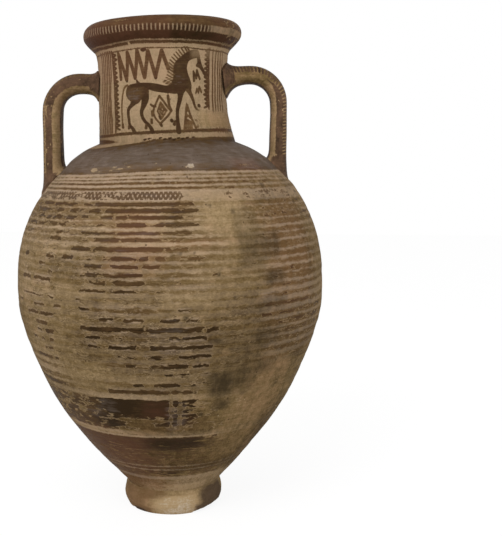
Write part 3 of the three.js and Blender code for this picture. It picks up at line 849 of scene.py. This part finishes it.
def dress(piece):
    """Keeps on each point of a thrown piece what its paint and wear are there, and where a sheen is painted.
    """
    mesh = piece.data
    place, thrown, turn, radius = as_thrown(mesh)
    outside = read_points(mesh, "relief", 1) > 0.9
    stretched = EYE_LEVEL + (place[:, 2] - EYE_LEVEL) * PAINT_STRETCH
    level = brush_level(turn, stretched, thrown[:, 0])
    picture_level = stretched - PAINT_SLANT * thrown[:, 0]
    if piece.name == "LowerBody":
        place[:, 0] += FOOT_OFFSET * (1 - smooth(place[:, 2], FOOT_HEIGHT, 3 * FOOT_HEIGHT))
        move_points(mesh, place)
    aside = folded(turn)
    panel = Panel(np.where(outside, aside, 1e4), picture_level)
    if piece.name == "Neck":
        paint_figures(panel)
        paint_columns(panel, np.random.default_rng(BRUSH_SEED))

    def patched(start, patches, squareness=4):
        return soft_patches(turn, level, start, patches, squareness)

    on_neck = smooth(level, 397, 402)
    on_lip = smooth(level, 496.5, 498)
    flank = smooth(np.abs(aside), 36, 50)
    worn_corner = window(turn, 26, 40, 70, 90) * window(picture_level, 411, 414, 424, 434)
    kept = np.maximum(patched(0.3, KEPT), 0.94 * ring_pieces(turn, level))
    kept = blend(kept, 0.97, smooth(level, 366, 370))
    kept = blend(kept, 0.96 - 0.9 * worn_corner, on_neck)
    kept = blend(kept, 0.99 - 0.4 * window(turn, 42, 62, 90, 120), on_lip)
    ghost = patched(0.15, GHOST) * (1 - on_neck)
    pale = patched(0.35, PALE)
    neck_pale = 0.88 - 0.3 * smooth(np.abs(aside), 36, 56) * (aside < 0) - 0.56 * on_lip + 0.1 * worn_corner
    neck_pale -= 0.2 * smooth(-picture_level, -440, -410)
    pale = np.maximum(pale * (1 - on_neck), (pale > 1) * pale) + on_neck * (pale <= 1) * neck_pale
    fading = 0.4 * smooth(picture_level, 478, 486) * smooth(aside, 25, 31)
    strength = smooth(level, 396, 399) * (1 - worn_corner) * (1 - fading) * (1 - on_lip)
    ticks = on_lip * (1 - window(turn, 34, 46, 100, 130))
    zigzag = smooth(picture_level, 457, 461) * (1 - smooth(aside, 6, 12))
    red = blend(patched(0.3, RED), 0.5 + 0.3 * flank + 0.4 * zigzag, on_neck)
    lip_thick = 0.6 * on_lip * (1 - smooth(level, 508, 512)) - 0.1 * smooth(level, 512, 514)
    thick = blend(patched(0.4, THICK), 0.62 + lip_thick, on_neck)
    flaky = patched(0.1, FLAKY) * (1 - smooth(level, 340, 352))
    write_points(mesh, "round", *(thrown[:, :2].T / radius * BELLY_RADIUS), level)
    write_points(mesh, "marks", panel.distance, panel.tone, np.maximum(strength, ticks) * outside)
    write_points(mesh, "wear", kept * outside, ghost * outside, np.where(outside, pale, 0.4))
    write_points(mesh, "soil", patched(0, SMUDGE) * outside, red, thick)
    write_points(mesh, "flaws_and_sheen", flaky * outside, patched(0, CHIPS, 2) * outside, patched(0, FILM_AND_SHEEN))
    off_the_wheel(mesh, BODY_CRISP)


def break_foot(mesh):
    """Takes a flake out of the foot's lower edge at the front right and a nick at the front left."""
    place, _, turn, radius = as_thrown(mesh)
    rough = 0.5 * np.sin(turn * 0.55) + 0.3 * np.sin(turn * 1.7 + 1) + 0.2 * np.sin(turn * 4.1 + radius)
    rise = np.interp(turn, [27.4, 28.2, 34, 50, 66, 84, 98, 102], [0, 1.5, 2.6, 4.8, 6.2, 5.2, 2.4, 0])
    cut = (rise + 0.35 * rough * (rise > 0.1)) * smooth(radius, 41, 50)
    nick = np.interp(turn, [-60, -57, -52, -49.5], [0, 1.6, 1.8, 0]) * smooth(radius, 44, 52)
    place[:, 2] = np.maximum(place[:, 2], np.maximum(cut, nick))
    move_points(mesh, place)


def dress_foot(mesh):
    place, thrown, turn, radius = as_thrown(mesh)
    level = place[:, 2]
    drips, pale, soot, red = (
        soft_patches(turn, level, start, patches)
        for start, patches in ((0.12, FOOT_DRIPS), (0.7, FOOT_PALE), (0, FOOT_SOOT), (0.2, FOOT_RED))
    )
    write_points(mesh, "round", *(thrown[:, :2].T / radius * FOOT_DRUM), level)
    write_points(mesh, "wear", 0, drips, pale)
    write_points(mesh, "soil", soot, red, 0)
    off_the_wheel(mesh, FOOT_CRISP)


# Finishes

# Painted rings, from level to level
RINGS = [
    (49, 58.4), (59.8, 63.6), (64.8, 104), (106.4, 107.6), (111, 149), (155, 159.5), (163.3, 167.2),
    (175.4, 177.6), (183, 187), (193, 196.5), (202, 206), (211, 215), (219, 224.2), (229, 232.5),
    (238.5, 241.5), (248, 250), (256, 259), (263.5, 268), (271, 274.5), (279, 282.5), (286, 290.5),
    (294.5, 299), (303.5, 307), (309.8, 312.8), (317, 321), (323.5, 327.5), (329.2, 333.8), (335.7, 339.4),
    (351.5, 353.5), (356.5, 358.5), (360.8, 361.9), (364.6, 365.6), (368.5, 400.4), (405.6, 409),
    (489.9, 491.2), (494.8, 497.4), (498.6, 506.2), (512.4, 530),
]
RING_REACH = 5.0
STOPS_PER_RAMP = 30
NET_LEVEL = 345.5
NET_STROKES = 192
LIP_TICKS = 124


def ring_stops():
    """Places and depths between which a level's depth inside the painted rings changes evenly."""
    edges = [RINGS[0][0] - 2 * RING_REACH] + [edge for ring in RINGS for edge in ring]
    stops = []
    for i, (low, high) in enumerate(zip(edges, edges[1:])):
        reach = min((high - low) / 2, RING_REACH)
        depth = reach if i % 2 else -reach
        stops.append((low + reach, depth))
        if reach == RING_REACH:
            stops.append((high - reach, depth))
    return stops


def ring_depth(level):
    """How deep inside a painted ring a level lies, in millimetres: below zero between rings."""
    stops = ring_stops()
    depth = 0.0
    for first in range(0, len(stops) - 1, STOPS_PER_RAMP - 1):
        run = stops[first:first + STOPS_PER_RAMP]
        low, high = run[0][0], run[-1][0]
        ramp = level.bench.node("ShaderNodeValToRGB", {0: (level - low) / (high - low)})
        elements = ramp.socket.node.color_ramp.elements
        elements.remove(elements[1])
        for i, (place, value) in enumerate(run):
            element = elements.new((place - low) / (high - low)) if i else elements[0]
            element.color = ((value / RING_REACH + 1) / 2,) * 3 + (1,)
        inside = level.above(low) * level.below(high + 1e-4)
        depth = inside * (ramp * (2 * RING_REACH) - RING_REACH) + depth
    return depth


def finish(name, look, *choices):
    """A material from a look, which makes colour, roughness, gloss, height, and the height's strength and
    depth in millimetres out of the numbers kept on a piece."""
    material = bpy.data.materials.new(name)
    material.use_nodes = True
    bench = Bench(material.node_tree)
    shader = next(node for node in bench.tree.nodes if node.type == "BSDF_PRINCIPLED")
    colour, roughness, gloss, height, strength, depth = look(bench, *choices)
    bump = bench.node("ShaderNodeBump", {"Height": height, "Strength": strength, "Distance": depth * MM})
    bench.join(shader, {
        "Base Color": colour, "Roughness": roughness, "Specular IOR Level": gloss, "Normal": bump,
    })
    return material


def coated(colour, *coats):
    """A colour under coats, each of which covers its share of what lies below."""
    for share, coat in coats:
        colour = share.mix(colour, coat)
    return colour


def specks(place, spacing, size, seed):
    """Small round specks, some places only: 1 in a speck."""
    away, luck = place.scaled(spacing, spacing, (seed, seed * 2.3, seed * 0.7)).cells()
    reach = size / spacing * luck
    return away.step(reach, reach * 0.4)


def clay_colour(place, pale, red):
    """Bare clay: buff to olive, with fine streaks round the pot and grit."""
    cloud = place.grain(46, 22, 4, 0.6, 1)
    streak = place.grain(90, 1.3, 3, 0.6, 2)
    grit = place.grain(2.6, 2, 3, 0.7, 3)
    mottle = place.grain(11, 6, 3, 0.65, 13)
    drip = place.grain(7, 50, 2, 0.5, 20)
    depth = pale + cloud * 0.7 + streak * 0.5 + grit + mottle * 0.8 + drip * 0.3
    warm = (red + cloud * 1.4 + mottle * 1.4 + drip * 0.5).spread(0.35, 1.3)
    colour = coated(
        (70, 53, 29), (depth.spread(0, 0.5), (118, 97, 63)), (depth.spread(0.5, 1.15), (168, 143, 107)),
        (depth.spread(1.3, 2), (212, 202, 186)), (warm * 0.5, (150, 112, 84)),
    )
    return colour, grit, streak


def painted_clay(bench):
    """Buff clay with worn slip paint: rings by level, figures by their distance, flaked where worn."""
    place = bench.attribute("round")
    x, y, level = place.split()
    distance, tone, strength = bench.attribute("marks").split()
    kept, ghost, pale = bench.attribute("wear").split()
    smudge, red, thick = bench.attribute("soil").split()
    flaky, chipped, film_and_sheen = bench.attribute("flaws_and_sheen").split()
    clay, grit, streak = clay_colour(place, pale, red)
    wander = place.grain(60, 14, 2, 0.5, 5)
    wrinkle = place.grain(13, 5, 3, 0.6, 17)
    ragged = place.grain(2.6, 1.5, 3, 0.6, 6)
    frayed = place.grain(8, 3, 3, 0.6, 11)
    layers = place.grain(24, 1.6, 3, 0.6, 19)
    body = place.grain(16, 5, 3, 0.6, 9)
    smoke = place.grain(9, 14, 4, 0.65, 10)

    depth = ring_depth(level + wander * 1.6 + wrinkle * (flaky * 9 + 0.6))
    depth = depth + ragged * 1.8 + frayed * (1.15 - kept) * 6 - kept.spread(0.9, 0.4) * 0.5
    ring = depth.step(-0.4, 0.5)
    soft_ring = (depth + ghost * 1.4).step(-1.2, 1.2)
    figure = (distance + ragged * 0.5).step(0.72, 0.02) * strength

    # Crossed strokes run round the shoulder, in groups that lean one way or the other
    round_share = bench.maths("ARCTAN2", x, y * -1) / (2 * math.pi)
    above_net = level - NET_LEVEL
    net = 0.0
    for way, seed in ((1, 14), (-1, 18)):
        group = place.grain(12, 40, 1, 0.4, seed).step(-0.22, -0.08)
        line = (round_share * NET_STROKES + above_net / 8 * (1.15 * way) + 40).beat() + ragged * 0.3
        net = (line.step(0.14, 0.26) * group).larger(net)
    net = net * abs(above_net).step(4.2, 3.6)

    # Short upright ticks on the lip's light edge
    tick = (round_share * LIP_TICKS + 40.3).beat() + ragged * 0.3
    tick = tick.step(0.4, 0.26) * level.step(505, 506) * level.step(514, 513) * strength

    # Flakes: blocks that broke away whole, with frayed edges
    shake = bench.node("ShaderNodeTexNoise", {"Vector": place.scaled(6, 4), "Scale": 1.0}, 1)
    block = place.scaled(13, 7, shake.scaled(2, 2)).cells()[1]
    fray = place.grain(12, 3.6, 2.4, 0.55, 8).spread(-0.2, 0.2)
    pits = place.grain(3.4, 2.4, 2, 0.5, 15).spread(0.1, 0.3)
    brushed = level.step(104, 98)
    loss = (fray * 0.62 + block * 0.3 + pits * 0.2) * (1 - brushed * 0.75)
    over = kept - loss - brushed * layers.spread(-0.15, 0.15) * 0.8
    left = over.step(-0.07, 0.12) * (1 - (chipped + ragged * 0.9).step(0.42, 0.55))
    rim = abs(over + 0.05).step(0.1, 0) * (1 - brushed)

    # Curled edges where the surface scaled off the clay, each with a painted highlight along its ridge and a
    # painted shadow beside it
    curl = place.grain(19, 5, 3, 0.6, 12, 0.7)
    scaled_off = place.grain(34, 20, 2, 0.5, 16).step(-0.14, 0.06) * flaky
    painted_curl_highlight = abs(curl).step(0.03, 0) * scaled_off
    painted_curl_shadow = curl.step(0, 0.03) * curl.step(0.1, 0.03) * scaled_off
    curled = curl.step(-0.03, 0.03) * scaled_off

    painted = ring.larger(net * 0.9).larger(figure.larger(tick))
    paint = painted * left
    darkness = figure.mix(thick, tone).split()[0]
    uneven = body * 1.5 + layers * 0.9 + grit * 0.5
    slip = coated(
        (106, 79, 49),
        ((darkness * 1.15 + uneven * (1.25 - darkness * 0.8)).spread(0, 1), (44, 30, 13)),
        ((red + body).spread(0.3, 1.2) * 0.6, (92, 57, 41)),
        (streak.spread(0, 0.3) * (1 - darkness) * 0.5, clay),
    )
    reserved = (1 - soft_ring) * (ghost * 0.6).larger(kept) * (1 - figure) * level.step(392, 400, 1, 0.3)
    faded = (body * 0.6 + layers * 0.8).spread(-0.25, 0.2)
    old_paint = red.spread(0.3, 0.9).mix((82, 60, 34), (108, 78, 48))
    colour = coated(
        clay,
        (reserved * level.step(150, 320, 0.4, 0.75), (183, 160, 139)),
        ((soft_ring * ghost * (faded * 0.8 + 0.4)).smaller(1), old_paint),
        # Painted shadow beside each curl, then a painted highlight along its ridge
        (painted_curl_shadow * 0.6, (70, 52, 30)),
        (painted_curl_highlight * 0.5, (172, 148, 114)),
        (rim * painted * 0.35, (178, 152, 118)),
        (paint * 0.98, slip),
        # Lime film, with a painted sheen on the horse's haunch and neck
        ((film_and_sheen + body * 0.8 + layers * 0.9).spread(0.3, 1.2) * 0.6, (146, 130, 118)),
        ((smudge * (smoke * 1.5 + 0.85)).spread(0.1, 1) * 0.85, (50, 40, 26)),
        (specks(place, 9, 1.5, 2.7) * 0.7, (52, 38, 24)),
        (specks(place, 14, 1.1, 8.1) * 0.5, (186, 168, 136)),
    )
    height = left * 0.45 + paint * 0.2 + grit * 0.3 + streak * 0.2 + curled * 0.6 + wrinkle * 0.8
    return colour, 0.82 - paint * 0.22 + grit * 0.2, 0.05, height, 0.75, 0.9


def foot_clay(bench):
    """Bare buff clay of the foot, with brown drips and a sooty patch."""
    place = bench.attribute("round")
    _, drips, pale = bench.attribute("wear").split()
    sooty, red, _ = bench.attribute("soil").split()
    clay, grit, streak = clay_colour(place, pale, red)
    wash = (drips + place.grain(20, 5, 3, 0.6, 4) * 0.9).spread(0.3, 0.8)
    soot = (sooty + place.grain(12, 7, 3, 0.6, 7) * 0.8).spread(0.35, 0.75)
    colour = coated(
        clay, (wash * 0.7, (104, 78, 52)), (soot * 0.85, (74, 59, 48)),
        (specks(place, 10, 1.2, 5.7) * 0.6, (60, 46, 32)),
    )
    return colour, 0.85, 0.04, grit * 0.6 + streak * 0.3, 0.5, 0.5


def handle_paint_and_shade(bench, bars_and_shade, tick_pitch, tick_end):
    """A strap's paint: bars along it, which shift from arch to leg, and ticks across its outer edge.
    The bar along the inner edge is partly painted shade, where the strap turns away from the light.
    """
    along, out, wide = bench.attribute("strap").split()
    kept, root, down = bench.attribute("wear").split()
    place = bench.node("ShaderNodeTexCoord", None, 3).scaled(MM, MM)
    mottled = place.grain(9, 9, 3, 0.6, 12)
    ragged = place.grain(4, 4, 3, 0.6, 6)
    share = (1 + out) * 0.5 + (1 + wide) * 0.15 + ragged * 0.14
    pale = 0.26 + down * 0.34 + share.spread(0, 0.8) * 0.3 + mottled * 0.9
    clay, grit, _ = clay_colour(place, pale, mottled + 0.6)
    bar_and_shade = 0.0
    for arch_start, arch_end, leg_start, leg_end in bars_and_shade:
        start = arch_start + down * (leg_start - arch_start)
        end = arch_end + down * (leg_end - arch_end)
        bar_and_shade = ((share - start).step(-0.03, 0.03) * (share - end).step(0.03, -0.03)).larger(bar_and_shade)
    tick = ((along - share * 6) / tick_pitch).beat() + ragged * 0.2
    tick = tick.step(0.34, 0.26) * share.step(tick_end + 0.03, tick_end - 0.03)
    left = (kept - place.grain(7, 7, 4, 0.65, 8).spread(-0.2, 0.2)).step(-0.05, 0.05)
    scratch = abs(place.grain(8, 14, 2, 0.5, 5)).step(0.035, 0.015)
    rooted = (root + mottled * 0.9).step(0.3, 0.42) * share.step(0.95, 0.8) * (1 - scratch * 0.25)
    paint = (bar_and_shade.larger(tick) * left).larger(rooted)
    dark = (place.grain(14, 14, 3, 0.6, 9) + grit * 0.6).spread(-0.25, 0.25)
    colour = coated(
        clay, (paint * 0.94, dark.mix((104, 78, 60), (46, 33, 25))),
        (specks(place, 9, 1.2, 3.3) * 0.6, (48, 36, 26)),
    )
    return colour, 0.8 - paint * 0.2 + grit * 0.2, 0.04, grit * 0.6 + paint * 0.3, 0.5, 0.5


# Handles

STRAP_WIDTH = 38
STRAP_CORNER = 30
STRAP_RINGS = 300
STRAP_SIDES = 96
STRAP_SQUARENESS = 2.5
# Unevenness along a strap: length of a wave and its size
STRAP_WAVES = [(22, 0.45), (9, 0.25), (4, 0.12)]
LEFT_STRAP = {
    "side": -1, "thickness": 20.5, "root_rise": 59, "arch_rise": 60.5, "landing": 127.52, "root_swell": 13,
    "root_reach": 3.5, "seed": 3, "kept": 0.74, "root_glaze": 0.5, "foot_glaze": 0.56,
}
RIGHT_STRAP = {
    "side": 1, "thickness": 18.5, "root_rise": 67, "arch_rise": 72, "landing": 114.22, "root_swell": 21,
    "root_reach": 5.5, "seed": 5, "kept": 0.88, "root_glaze": 0.95, "foot_glaze": 0.75,
}
# Dark bars as shares across the strap (start and end at the arch, then at the leg), pitch of the ticks and
# the share where they end. The second bar darkens the inner edge: paint there, with painted shade where the
# strap turns away
LEFT_PAINT_AND_SHADE = [(0.2, 0.68, 0.25, 0.6), (1.08, 1.5, 1.02, 1.5)], 3.6, 0.2
RIGHT_PAINT_AND_SHADE = [(0.56, 0.52, 0.28, 0.69), (1.0, 1.5, 1.02, 1.5)], 3.4, 0.4


def flowing_line(points, steps):
    """A line through the points that keeps its corners round however far apart they are, and its length."""
    points = np.array([2 * points[0] - points[1], *points, 2 * points[-1] - points[-2]])
    line = []
    for i in range(len(points) - 3):
        before, start, end, after = points[i:i + 4]
        gaps = np.sqrt(np.linalg.norm(np.diff(points[i:i + 4], axis=0), axis=1))
        leaving, reaching = (
            gaps[1] * ((b - a) / gap - (c - a) / (gap + next_gap) + (c - b) / next_gap)
            for a, b, c, gap, next_gap in ((before, start, end, *gaps[:2]), (start, end, after, *gaps[1:]))
        )
        share = np.linspace(0, 1, 40, endpoint=i == len(points) - 4)[:, None]
        line.append(bent_run(start, end, leaving, reaching, share))
    line = np.concatenate(line)
    run = np.concatenate([[0], np.cumsum(np.linalg.norm(np.diff(line, axis=0), axis=1))])
    place = np.linspace(0, run[-1], steps + 1)
    return np.stack([np.interp(place, run, axis) for axis in line.T], 1), run[-1]


def shoulder_level(radius):
    return np.interp(radius, *UPPER_OUTLINE[::-1].T)


def strap_line(side, thickness, root_rise, arch_rise, landing):
    """A strap's middle line in its own plane: (x, level) from inside the neck's wall into the shoulder's."""
    root = np.array([side * (WAIST_RADIUS - NECK_WALL / 2) - LEAN, SEAT_LEVEL + root_rise])
    arch = np.array([side * (landing - STRAP_CORNER), SEAT_LEVEL + arch_rise])
    points = [root, root + (arch - root) * (0.45, 0.7)]
    for turn in np.radians(np.linspace(90, 0, 7)):
        points.append(arch + np.array([side * math.cos(turn), math.sin(turn) - 1]) * STRAP_CORNER)
    buried = shoulder_level(math.hypot(landing + (thickness + 4) / 2, (STRAP_WIDTH + 4) / 2)) - BODY_WALL
    for level in ((arch[1] - STRAP_CORNER + buried) / 2, buried):
        points.append(np.array([side * landing, level]))
    return flowing_line(points, STRAP_RINGS)


def rounded(value):
    """Makes a circle's sine or cosine that of a softly squared strap."""
    return np.sign(value) * np.abs(value) ** (2 / STRAP_SQUARENESS)


def pulled_strap(
    name, clay, side, thickness, root_rise, arch_rise, landing, root_swell, root_reach, seed, kept,
    root_glaze, foot_glaze,
):
    """A handle pulled by hand: a rounded strap, uneven along its length, smeared on to both walls."""
    line, length = strap_line(side, thickness, root_rise, arch_rise, landing)
    outwards = sideways(line) * side
    run = np.linspace(0, length, STRAP_RINGS + 1)
    chance = np.random.default_rng(seed)
    extra = 4 * np.exp((run - length) / 14)
    for wave, size in STRAP_WAVES:
        extra += size * np.sin(run * chance.uniform(0.6, 1.4) / wave + chance.uniform(0, 7))
    turn = np.arange(STRAP_SIDES) / STRAP_SIDES * 2 * math.pi
    side_out, side_wide = rounded(np.cos(turn)), rounded(np.sin(turn))
    out = side_out * (thickness + extra)[:, None] / 2
    wide = side_wide * (STRAP_WIDTH + extra)[:, None] / 2
    x, z = (line[:, i, None] + outwards[:, i, None] * out for i in range(2))
    from_neck = np.hypot(x + LEAN, wide) - WAIST_RADIUS
    from_shoulder = z - shoulder_level(np.hypot(x, wide))
    near_root = run[:, None] < length * 0.4
    inner = smooth(side_out, -0.4, 0.4)
    at_neck = near_root * root_swell * np.exp(-np.maximum(from_neck, 0) / root_reach)
    at_shoulder = ~near_root * 9 * np.exp(-np.maximum(from_shoulder, 0) / 4)
    x = line[:, :1] + outwards[:, :1] * out * (1 + at_shoulder * (0.25 + 0.75 * inner) / thickness)
    z = line[:, 1:] + outwards[:, 1:] * out * (1 + at_neck * (0.65 + 0.45 * inner) / thickness)
    y = wide * (1 + (at_neck + at_shoulder) / STRAP_WIDTH)
    here = np.arange(STRAP_RINGS * STRAP_SIDES)
    beside = np.where(here % STRAP_SIDES == STRAP_SIDES - 1, here + 1 - STRAP_SIDES, here + 1)
    quads = np.stack([here, beside, beside + STRAP_SIDES, here + STRAP_SIDES], 1)[:, ::side]
    end = np.arange(STRAP_SIDES)
    faces = quads.tolist() + [end[::-side].tolist(), (end + STRAP_RINGS * STRAP_SIDES)[::side].tolist()]
    mesh = bpy.data.meshes.new(name)
    mesh.from_pydata((np.stack([x, y, z], 2).reshape(-1, 3) * MM).tolist(), [], faces)
    mesh.polygons.foreach_set("use_smooth", [True] * len(mesh.polygons))
    mesh.materials.append(clay)
    along = np.repeat(run, STRAP_SIDES)
    write_points(mesh, "strap", along, *(np.tile(way, STRAP_RINGS + 1) for way in (side_out, side_wide)))
    glazed = np.maximum(
        (1 - smooth(along, 9, 14)) * root_glaze, smooth(along, length - 42, length - 26) * foot_glaze,
    )
    write_points(mesh, "wear", kept, glazed, smooth(along, length * 0.22, length * 0.48))
    mesh.set_sharp_from_angle(angle=math.radians(STRAP_CRISP))
    return placed(name, mesh)


def stand_on_frame(piece, node):
    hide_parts(node)
    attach(piece, "root")


# The jar

wheel = potters_wheel()
slip_painted = finish("painted_clay", painted_clay)
bare_clay = finish("foot_clay", foot_clay)
foot = turned_piece("FootRing", wheel, foot_outline(), 400, bare_clay, Sideways=FOOT_OFFSET * MM)
break_foot(foot.data)
dress_foot(foot.data)
stand_on_frame(foot, "foot_ring")

for name, node, slot, outline, segments in [
    ("LowerBody", "lower_body", "painted_clay", lower_outline(), 400),
    ("UpperBody", "upper_body", "painted_clay", upper_outline(), 400),
    ("Neck", "neck", "painted_clay", neck_outline(), 660),
    ("Lip", "lip", "dark_glaze", lip_outline(), 660),
]:
    thrown_piece = turned_piece(name, wheel, outline, segments, slip_painted)
    dress(thrown_piece)
    stand_on_frame(thrown_piece, node)

for name, node, strap, paint in [
    ("LeftHandle", "left_handle", LEFT_STRAP, LEFT_PAINT_AND_SHADE),
    ("RightHandle", "right_handle", RIGHT_STRAP, RIGHT_PAINT_AND_SHADE),
]:
    glaze = finish(node + "_glaze", handle_paint_and_shade, *paint)
    stand_on_frame(pulled_strap(name, glaze, **strap), node)


# Camera, light and floor

PICTURE_WIDTH, PICTURE_HEIGHT = 502, 536
FOCAL_PIXELS = 900
SENSOR = 36
CAMERA_DISTANCE = 0.9862
CAMERA_TURN = math.radians(3.5)
AXIS_COLUMN, AXIS_ROW = 172.3, 165
LAMP_AIM = Vector((0, 0, 0.3))
LAMP_SIZE = 1.4
ROOM_LIGHT = 0.62
FLOOR_REACH = 4
UPRIGHT = Vector((0, 0, 1))


def place_camera():
    """A camera at eye level, aimed so that the jar's axis at that level lies on one pixel, upright there."""
    sight = Vector((AXIS_COLUMN - PICTURE_WIDTH / 2, PICTURE_HEIGHT / 2 - AXIS_ROW, -FOCAL_PIXELS))
    sight.normalize()
    up = Vector((0, 1, 0)) - Vector((sight.x, 0, sight.z)) * (sight.y / (sight.x ** 2 + sight.z ** 2))
    up.normalize()
    seen = Matrix((sight.cross(up), up, sight))
    ahead = Vector((-math.sin(CAMERA_TURN), math.cos(CAMERA_TURN), 0))
    real = Matrix((ahead.cross(UPRIGHT), UPRIGHT, ahead)).transposed()
    data = bpy.data.cameras.new("Camera")
    data.sensor_width = SENSOR
    data.lens = SENSOR * FOCAL_PIXELS / PICTURE_HEIGHT
    camera = placed("Camera", data)
    stand = UPRIGHT * (EYE_LEVEL * MM) - ahead * CAMERA_DISTANCE
    camera.matrix_world = Matrix.Translation(stand) @ (real @ seen).to_4x4()
    bpy.context.scene.camera = camera


def seen_directly(bench):
    """1 for rays of the camera and of gloss or glass, which see the plain background."""
    ray = bench.node("ShaderNodeLightPath").beside
    return ray("Is Camera Ray").larger(ray("Is Glossy Ray").larger(ray("Is Transmission Ray")))


def light_room():
    world = bpy.data.worlds.new("Room")
    bpy.context.scene.world = world
    world.use_nodes = True
    bench = Bench(world.node_tree)
    background = next(node for node in bench.tree.nodes if node.type == "BACKGROUND")
    strength = ROOM_LIGHT + seen_directly(bench) * (1 - ROOM_LIGHT)
    bench.join(background, {"Color": (1, 1, 1, 1), "Strength": strength})
    for name, place, watts in [("Key", (-0.9, -1.7, 1.7), 26), ("Fill", (1.5, -1.5, 0.9), 9)]:
        data = bpy.data.lights.new(name, "AREA")
        data.size = LAMP_SIZE
        data.energy = watts
        lamp = placed(name, data)
        lamp.location = place
        lamp.rotation_euler = (LAMP_AIM - Vector(place)).to_track_quat("-Z", "Y").to_euler()


def lay_floor():
    mesh = bpy.data.meshes.new("Floor")
    corners = [(x * FLOOR_REACH, y * FLOOR_REACH, 0) for x, y in ((-1, -1), (1, -1), (1, 1), (-1, 1))]
    mesh.from_pydata(corners, [], [(0, 1, 2, 3)])
    material = bpy.data.materials.new("floor_white")
    material.use_nodes = True
    material.node_tree.nodes.clear()
    bench = Bench(material.node_tree)
    paper = bench.node("ShaderNodeBsdfDiffuse", {"Color": (0.85, 0.85, 0.85, 1)})
    glow = bench.node("ShaderNodeEmission", {"Color": (1, 1, 1, 1), "Strength": 1.1})
    both = bench.node("ShaderNodeMixShader", {0: seen_directly(bench) * 0.8, 1: paper, 2: glow})
    bench.node("ShaderNodeOutputMaterial", {0: both})
    mesh.materials.append(material)
    placed("Floor", mesh)


place_camera()
light_room()
lay_floor()
bpy.context.scene.view_settings.view_transform = "Standard"
